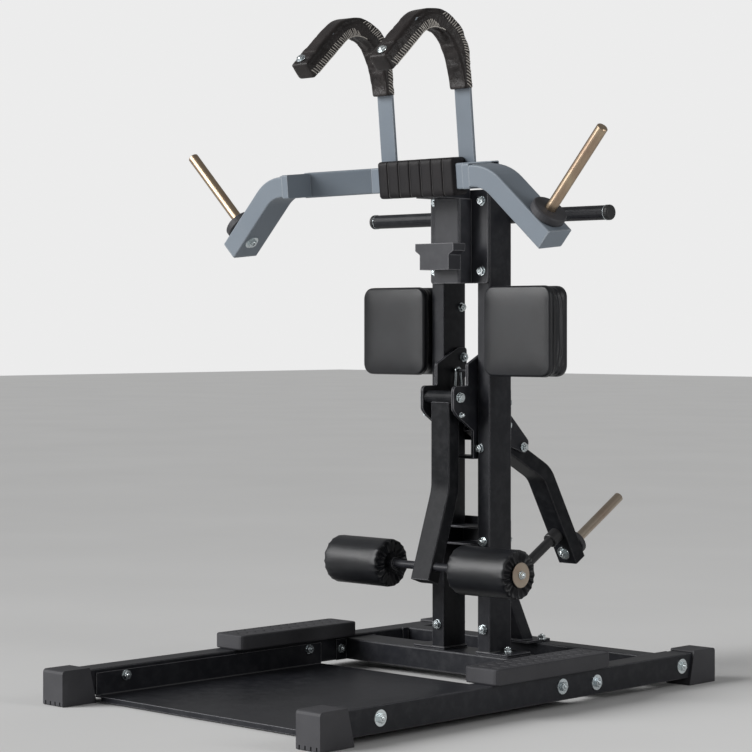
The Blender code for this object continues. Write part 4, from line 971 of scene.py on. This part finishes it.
# %% [markdown]
# ## The channelled wrap
# The wrap is a padded sleeve on the centre tube with six sewn channels. The even sheet is
# bent round the tube by formula, its channels are drawn down and held, and the panels between
# them are blown up a little. A welt of dark grey thread lies in each channel.

# %% The outline of the wrap
WRAP_HALF, CHANNELS = 0.125, 6
PANEL = 2 * WRAP_HALF / (CHANNELS + 1)
WRAP_DEPTH, WRAP_FRONT, WRAP_TOP, WRAP_CORNER = 0.0370, -0.0085, 0.0452, 0.0085
SEAT = ((0.0362, -0.0316), (0.018, -0.0316), (-0.0004, -0.0316), (-0.0004, 0.0))
SEAT += ((-0.0004, 0.0316), (0.018, 0.0316), (0.0362, 0.0316))


def wrap_outline():
    """(y, z, outward y, outward z) round the tube, from its upper back edge to its lower one."""
    round_y, round_z = WRAP_FRONT + WRAP_CORNER, WRAP_TOP - WRAP_CORNER
    flat = WRAP_DEPTH - WRAP_FRONT - WRAP_CORNER

    def bend(turn, z):
        out_y, out_z = cos(turn), sin(turn)
        return round_y + WRAP_CORNER * out_y, z + WRAP_CORNER * out_z, out_y, out_z

    rows = [(WRAP_DEPTH - step * flat / 12, WRAP_TOP, 0.0, 1.0) for step in range(12)]
    rows += [bend(pi / 2 * (1 + step / 6), round_z) for step in range(6)]
    rows += [(WRAP_FRONT, round_z * (1 - step / 10), -1.0, 0.0) for step in range(21)]
    rows += [bend(pi * (1 + step / 12), -round_z) for step in range(1, 7)]
    rows += [(round_y + step * flat / 12, -WRAP_TOP, 0.0, -1.0) for step in range(1, 13)]
    return rows


def channel_depth(x):
    """How far a channel draws the leather down at x."""
    nearest = min(abs(x - (-WRAP_HALF + PANEL * (i + 1))) for i in range(CHANNELS))
    return 0.0036 * bell(nearest, 0.0013)


outline = wrap_outline()
print("the wrap's outline has", len(outline), "points, a panel is", round(PANEL, 4), "m wide")

# %% Quilt the wrap
shares = (0.0, 0.03, 0.07, 0.13, 0.22, 0.34, 0.5, 0.66, 0.78, 0.87, 0.93, 0.97)
places = [-WRAP_HALF + (panel + share) * PANEL for panel in range(CHANNELS + 1) for share in shares]
mesh = bmesh.new()
sheet = []
for x in places + [WRAP_HALF]:
    end = smoothstep(WRAP_HALF, WRAP_HALF - 0.006, abs(x))
    drop = channel_depth(x) + 0.006 * (1 - end)
    row = [Vector((x, y - out_y * drop, z - out_z * drop)) for y, z, out_y, out_z in outline]
    row += [Vector((x, y, z)) for y, z in SEAT]
    sheet.append([mesh.verts.new(YOKE_FRAME @ spot) for spot in row])
for first, last in zip(sheet, sheet[1:]):
    for i in range(len(first)):
        j = (i + 1) % len(first)
        mesh.faces.new((first[i], last[i], last[j], first[j]))
for row in (sheet[0], sheet[-1]):
    mesh.faces.new(row)
bmesh.ops.triangulate(mesh, faces=[face for face in mesh.faces if len(face.verts) > 4])
quilt = closed_skin("wrap_quilt", mesh)
into_yoke = YOKE_FRAME.inverted()


def wrap_hold(point):
    spot = into_yoke @ point
    inside = spot.y > 0.030 or (abs(spot.z) < 0.033 and spot.y > -0.001)
    sewn = channel_depth(spot.x) > 0.0012 or abs(spot.x) > WRAP_HALF - 0.004
    return 1.0 if inside or sewn else 0.0


quilt = refined("wrap", swollen("wrap", quilt, wrap_hold, 0.0006, pressure=3.0, slack=0.0))
wrap = piece("wrap_cover", quilt, "yoke_body", QUILT, ("back_wrap",), 60)
lines = []
for i in range(CHANNELS):
    x = -WRAP_HALF + PANEL * (i + 1) + 0.0013
    places = [(x, y - out_y * 0.0012, z - out_z * 0.0012) for y, z, out_y, out_z in outline]
    lines.append([YOKE_FRAME @ Vector(place) for place in places])
thread("wrap_welts", "yoke_body", lines, 0.0008, SEAM)

# %% [markdown]
# ## The laced hook sleeves
# Each hook bar wears a thick leather sleeve: one cover over its outer face, one panel on each
# side, laced together with pale thread. The sleeve is swept along the bar's centre line,
# which rises, turns over the shoulder and runs forward. Its seams are held while the cloth
# swells, and the inside of the arch is then creased across, as thick leather bends.

# %% The line of a hook bar
HOOK_X, ARCH = 0.127, Vector((-0.0685, 0.2745))
ARCH_RADIUS, ARCH_TURN = 0.1108, radians(126.9)
FOOT, TIP = 0.0695, 0.136
CURVED = ARCH_RADIUS * ARCH_TURN
SLEEVE, SLEEVE_HALF = FOOT + CURVED + TIP, 0.0278
SLEEVE_ROUND, SLEEVE_RINGS = 46, 96


def bar_line(along):
    """A point of the bar's centre line and the way outwards there, in the yoke's (y, z)."""
    if along < FOOT:
        return ARCH + Vector((ARCH_RADIUS, along - FOOT)), Vector((1.0, 0.0))
    turn = min((along - FOOT) / ARCH_RADIUS, ARCH_TURN)
    out = Vector((cos(turn), sin(turn)))
    ahead = Vector((-sin(turn), cos(turn)))
    return ARCH + out * ARCH_RADIUS + ahead * max(along - FOOT - CURVED, 0.0), out


def sleeve_point(along, x, out):
    spot, way = bar_line(along)
    spot = spot + way * out
    return YOKE_FRAME @ Vector((HOOK_X + x, spot.x, spot.y))


def sleeve_inner(along):
    return -(0.021 + 0.017 * smoothstep(0.0, 0.120, along))


def sleeve_section(along, scale=1.0):
    """Evenly spread (x, out) points round the sleeve, counter-clockwise from the outer right."""
    top, low = 0.0068, sleeve_inner(along) + 0.0010
    middle = (top + low) / 2
    points = []
    corners = ((1, top, 0.005), (-1, top, 0.005), (-1, low, 0.007), (1, low, 0.007))
    for quarter, (side_x, out, radius) in enumerate(corners):
        centre_out = out - copysign(radius, out - middle)
        points += corner(side_x * (SLEEVE_HALF - radius), centre_out, radius, quarter, 4)
    spread = spread_round(points, SLEEVE_ROUND)
    return [(p.x * scale, middle + (p.y - middle) * scale) for p in spread]


print("the sleeve is", round(SLEEVE, 3), "m long")

# %% Sweep one sleeve
stations = [(SLEEVE * i / SLEEVE_RINGS, 1.0) for i in range(1, SLEEVE_RINGS)]
stations = [(0.0, 0.86), (0.0006, 0.95)] + stations + [(SLEEVE - 0.002, 0.97), (SLEEVE, 0.86)]
mesh = bmesh.new()
rings = []
where = []
for along, scale in stations:
    section = sleeve_section(along, scale)
    rings.append([mesh.verts.new(sleeve_point(along, x, out)) for x, out in section])
    where += [(along, x, out) for x, out in section]
bridge(mesh, *rings)
for ring, along in ((rings[0], 0.0), (rings[-1], SLEEVE)):
    fan(mesh, ring, sleeve_point(along, 0.0, (0.005 + sleeve_inner(along)) / 2))
    where.append((along, 0.0, -0.015))
skin = closed_skin("sleeve_skin", mesh)
COVER_SEAM = -0.0030
spots = {tuple(round(c, 6) for c in v.co): w for v, w in zip(skin.vertices, where)}


def sleeve_hold(point):
    along, x, out = spots[tuple(round(c, 6) for c in point)]
    near = abs(out - COVER_SEAM) < 0.0022 or abs(out - sleeve_inner(along)) < 0.004
    seam = abs(x) > 0.022 and near
    return 1.0 if seam or along < 0.006 or along > SLEEVE - 0.006 else 0.0


skin = swollen("sleeve", skin, sleeve_hold, 0.0030, pressure=5.0, slack=0.03)
crown = FOOT + CURVED
for vertex, (along, x, out) in zip(skin.vertices, where):
    way = bar_line(along)[1]
    outwards = YOKE_FRAME.to_3x3() @ Vector((0.0, way.x, way.y))
    under = smoothstep(-0.024, -0.034, out)
    bend = smoothstep(FOOT + 0.02, FOOT + 0.08, along) * smoothstep(crown, crown - 0.06, along)
    wave = sin(along * 330 + 0.5 * sin(along * 90) + x * 25 + 0.8 * sin(x * 130))
    crease = -0.0034 * under * bend * (1 - abs(wave)) ** 2
    slump = 0.0006 * sin(along * 95 + x * 40) * smoothstep(-0.012, 0.0, out)
    seam = bell(out - COVER_SEAM, 0.0026) * (1 if abs(x) > 0.02 else 0)
    vertex.co += outwards * (slump - crease) - Vector((copysign(0.0011 * seam, x), 0, 0))
skin = refined("sleeve", skin)
print("each sleeve has", len(skin.vertices), "points")

# %% [markdown]
# Strokes of thread cross the lower edge of each side panel in front, and its outer edge behind
# the crown. A pale cord follows the lower edge. The lines are laid on the swollen leather by
# looking for its surface, so no thread floats or sinks.

# %% Lace the sleeves
CHANGE, LACE_END = FOOT + 0.62 * CURVED, 0.012
CORD_START, CORD_STEP = FOOT + 0.5 * CURVED, 0.008
leather = surface(skin)


def laid(along, side_x, out, lift):
    """The point of the side panel nearest to a place on it, lifted a little off the leather."""
    outside = sleeve_point(along, side_x * 0.06, out)
    hit, normal, _, _ = leather.ray_cast(outside, Vector((-side_x, 0, 0)))
    return hit + normal * lift if hit else sleeve_point(along, side_x * SLEEVE_HALF, out)


chance = random.Random(11)
strokes, cords = [], []
for side_x in (-1, 1):
    along = LACE_END
    while along < SLEEVE - LACE_END:
        front = along > CHANGE
        reach = min(0.3 + 0.7 * abs(along - CHANGE) / 0.030, 1.0)
        low, high = sleeve_inner(along) + 0.0035, 0.0036
        low, high = (low, low + (-0.0150 - low) * reach) if front else (high - 0.0185 * reach, high)
        lean = chance.uniform(0.008, 0.012) * (1 if front else -1)
        steps = [(along + lean * s / 4, low + (high - low) * s / 4) for s in range(5)]
        strokes.append([laid(place, side_x, out, 0.0002) for place, out in steps])
        along += chance.uniform(0.0066, 0.0084)
    count = int((SLEEVE - CORD_START - 0.006) / CORD_STEP)
    steps = [CORD_START + CORD_STEP * s for s in range(count)]
    cords.append([laid(place, side_x, sleeve_inner(0.3) + 0.0035, 0.0004) for place in steps])
for side, sign in SIDES:
    data = skin if sign > 0 else mirrored("sleeve_left", skin)
    sleeve = piece(f"hook_sleeve_{side}", data, "yoke_body", LEATHER, (f"hook_pad_{side}",), 70)
    for name, drawn, radius in (("lacing", strokes, 0.0011), ("cord", cords, 0.0012)):
        drawn = drawn if sign > 0 else flipped(drawn)
        thread(f"hook_{name}_{side}", "yoke_body", drawn, radius, LACE)

# %% [markdown]
# ## The small fasteners
# The rest of the bolts stand where a ray from outside first meets the piece that they hold,
# or at places measured in the photograph.


# %% Bolts that are found by a ray
def met(node, origin, way):
    """Where a ray first meets a CAD piece."""
    hit = surface(nodes[node].data).ray_cast(Vector(origin), Vector(way).normalized())[0]
    if hit is None:
        raise ValueError("no surface of " + node)
    return hit


def behind(horn, node):
    """A bolt where a horn's line leaves the far face of the arm that carries it."""
    low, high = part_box(horn)
    span = high - low
    middle = (low + high) / 2
    if abs(span.x) < abs(span.y):
        way = Vector((0, 1, tan(radians(30))))
    else:
        way = Vector((copysign(1, middle.x), 0, 1.055))
    way.normalize()
    return met(node, middle - way * 0.5, way), -way, LARGE, 0.0115


horns = [behind(f"plate_horn_{side}", f"yoke_arm_{side}") for side, _ in SIDES]
bolts("yoke_arm_bolts", "yoke_body", horns)
bolts("weight_arm_bolt", "arm_body", [behind("weight_horn", "weight_arm")])

# %% Bolts of the brackets, the rollers and the hooks
WASHER, DOWN = 0.0115, (0, 0, -1)
listed = []
for side, sign in SIDES:
    foot = met("column_" + side, at(sign * 0.111, 0.048, 0.3), DOWN)
    brace = met("rear_brace", (sign * 0.048, 0.402, 0.4), DOWN)
    listed += [(foot, (0, 0, 1), WASHER, 0.0095), (brace, (0, 0, 1), WASHER, 0.0095)]
    listed.append((at(sign * 0.0655, 0.0, 0.571), (0, -1, 0), WASHER, 0.0100))
    listed.append((at(sign * 0.0545, -0.060, 0.653), (sign, 0, 0), 0.0072, 0.0056))
    listed.append((at(sign * 0.0548, 0.064, 0.915), (-sign, 0, 0), WASHER, 0.0100))
    listed.append((at(sign * 0.0463, 0.062, 0.791), (-sign, 0, 0), WASHER, 0.0100))
bolts("bracket_bolts", "frame_body", listed)
disc_face = disc_high.x + 0.0002
discs = [(Vector((s * disc_face, axle_y, axle_z)), (s, 0, 0), 0.0098, 0.0085) for _, s in SIDES]
bolts("roller_bolts", "lever_body", discs, washer_thickness=0.0012, head_height=0.0060)
tip_way = YOKE_FRAME.to_3x3() @ Vector((0, cos(ARCH_TURN), sin(ARCH_TURN)))
start = at(0.1325, -0.411, 1.494) + tip_way * 0.1
hit = leather.ray_cast(start, -tip_way)[0] or start - tip_way * 0.08
tips = [(Vector((sign * hit.x, hit.y, hit.z)), tip_way, 0.0125, 0.0095) for _, sign in SIDES]
bolts("hook_tip_bolts", "yoke_body", tips, washer_thickness=0.0020, head_height=0.0050)

# %% [markdown]
# ## The welds and the last thin lines
# Welds go where tubes meet plates: round the feet of the columns, beside the bracket of the
# post and round the yoke's arms. Those on the frame are painted paler than the black, a painted
# highlight. A smooth line along each fold of the floor plate wears the same paler colour, a
# painted highlight, and a thin ring sits near each end of the storage bar.


# %% Weld beads
def rectangle(low, high, z):
    (x0, y0), (x1, y1) = low, high
    return [Vector(p) for p in ((x0, y0, z), (x1, y0, z), (x1, y1, z), (x0, y1, z), (x0, y0, z))]


plate_top = met("column_right", (0.138, FRONT + 0.03, 0.3), DOWN).z
lines = []
for _, sign in SIDES:
    lines.append(rectangle((sign * 0.055, FRONT), (sign * 0.095, COLUMN_REAR), plate_top))
    lines.append([at(sign * 0.0325, -0.001, z) for z in (1.01, 1.19)])
# The frame's weld beads wear the paler weld colour, a painted highlight.
beads("frame_welds", "frame_body", lines)

# %% Folds of the floor plate
FOLD_Y, INTO_FOLD = (-0.815, -0.60, -0.38, -0.160), 0.0006
plate_z = met("floor_plate", at(0.30, -0.5, 0.3), DOWN).z
fold_x = met("floor_plate", at(0.30, -0.5, plate_z + 0.02), (1, 0, 0)).x
x, z = fold_x - INTO_FOLD, plate_z + INTO_FOLD
folds = [[at(sign * x, y, z) for y in FOLD_Y] for _, sign in SIDES]
# The fold's line wears the paler weld colour, a painted highlight along the fold.
thread("plate_folds", "frame_body", folds, 0.0024, WELD_PAINTED_HIGHLIGHT)
print("the plate's fold runs at x =", round(fold_x, 4), "and z =", round(plate_z, 4))

# %% Weld beads of the yoke and rings of the storage bar
LOOP = ((-0.036, -0.022), (0.036, -0.022), (0.036, 0.028), (-0.036, 0.022), (-0.036, -0.022))
RING = 0.0178
lines = []
for side, sign in SIDES:
    low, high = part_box(f"arm_cap_inner_{side}")
    x = high.x if sign > 0 else low.x
    y, z = (low.y + high.y) / 2, (low.z + high.z) / 2
    lines.append([Vector((x, y + a, z + b)) for a, b in LOOP])
beads("yoke_welds", "yoke_body", lines, GREY, 0.0018, 0.0026)
for side, sign in SIDES:
    turns = [step * pi / 16 for step in range(32)]
    ring = [(0.2483 + RING * cos(t), 1.137 + RING * sin(t)) for t in turns]
    ring = [Vector((sign * 0.3765, y, z)) for y, z in ring]
    thread("bar_ring_" + side, "frame_body", [ring], 0.0009, ZINC, closed=True)

# %% [markdown]
# ## The view and the light
# The photograph was taken with a long lens from the front right. The camera stands where the
# station's own right angles say it did. Its small shift stands for the crop. The focal
# length and the row of the horizon are in pixels of the square picture.

# %% Camera
PICTURE, FOCAL, HORIZON, SENSOR = 752, 2352.8, 327.05, 36.0
camera = bpy.data.cameras.new("camera")
camera.sensor_width = SENSOR
camera.lens = SENSOR * FOCAL / PICTURE
camera.shift_y = -(PICTURE / 2 - HORIZON) / PICTURE
camera.clip_start = 0.1
viewer = linked("camera", camera)
viewer.location = at(3.8423, -4.2948, 0.8656)
viewer.rotation_euler = (radians(90), 0, radians(43.87))
bpy.context.scene.camera = viewer
print("lens", round(camera.lens, 1), "mm")

# %% [markdown]
# A pale floor and a pale world make the plain studio. The floor keeps the station's shadow.
# One broad sun from the camera's left is the daylight, and two area lamps, left and right,
# stand for the windows of the room.


# %% Floor, world and lamps
def make_floor():
    tree = Finish("studio_floor", specular=0.12)
    drift = tree.noise(1.1, 4.0, 0.5)
    tone = tree.blend(drift, rgb(0.72, 0.72, 0.715), rgb(0.79, 0.79, 0.785))
    mesh = bmesh.new()
    bmesh.ops.create_grid(mesh, x_segments=1, y_segments=1, size=30)
    floor = linked("floor", kept("floor", mesh))
    floor.data.materials.append(tree.wear(tone, 0.75 + (drift - 0.5) * 0.2))
    floor.location = (0, 0, -0.0005)


def make_world():
    world = bpy.data.worlds.new("studio")
    bpy.context.scene.world = world
    world.use_nodes = True
    tree = Tree(world.node_tree)
    shader = world.node_tree.nodes["Background"]
    seen = tree.add("ShaderNodeLightPath", output="Is Camera Ray")
    glossy = tree.add("ShaderNodeLightPath", output="Is Glossy Ray")
    shader.inputs["Color"].default_value = rgb(1.0, 1.0, 1.0)
    tree.feed(shader.inputs["Strength"], 0.15 + seen * 0.69 + glossy * 0.08)


def lamp(name, kind, power, way, place=(0, 0, 0)):
    """A lamp that shines along a direction."""
    light = bpy.data.lights.new(name, kind)
    light.energy = power
    obj = linked(name, light)
    obj.location = place
    obj.rotation_euler = Vector(way).to_track_quat("-Z", "Y").to_euler()
    return light


def window(name, place, size, power):
    """A tall lamp that looks at the middle of the station."""
    light = lamp(name, "AREA", power, Vector((0, 0, 0.8)) - Vector(place), place)
    light.shape = "RECTANGLE"
    light.size, light.size_y = size


make_floor()
make_world()
lamp("daylight", "SUN", 2.8, (0.62, 1.0, -0.62)).angle = radians(38)
window("window_left", (-2.4, -3.6, 1.5), (1.0, 2.2), 34)
window("window_right", (3.4, 0.6, 1.8), (0.8, 2.0), 26)
bpy.context.scene.view_settings.view_transform = "Standard"
print("daylight, two windows and a pale world")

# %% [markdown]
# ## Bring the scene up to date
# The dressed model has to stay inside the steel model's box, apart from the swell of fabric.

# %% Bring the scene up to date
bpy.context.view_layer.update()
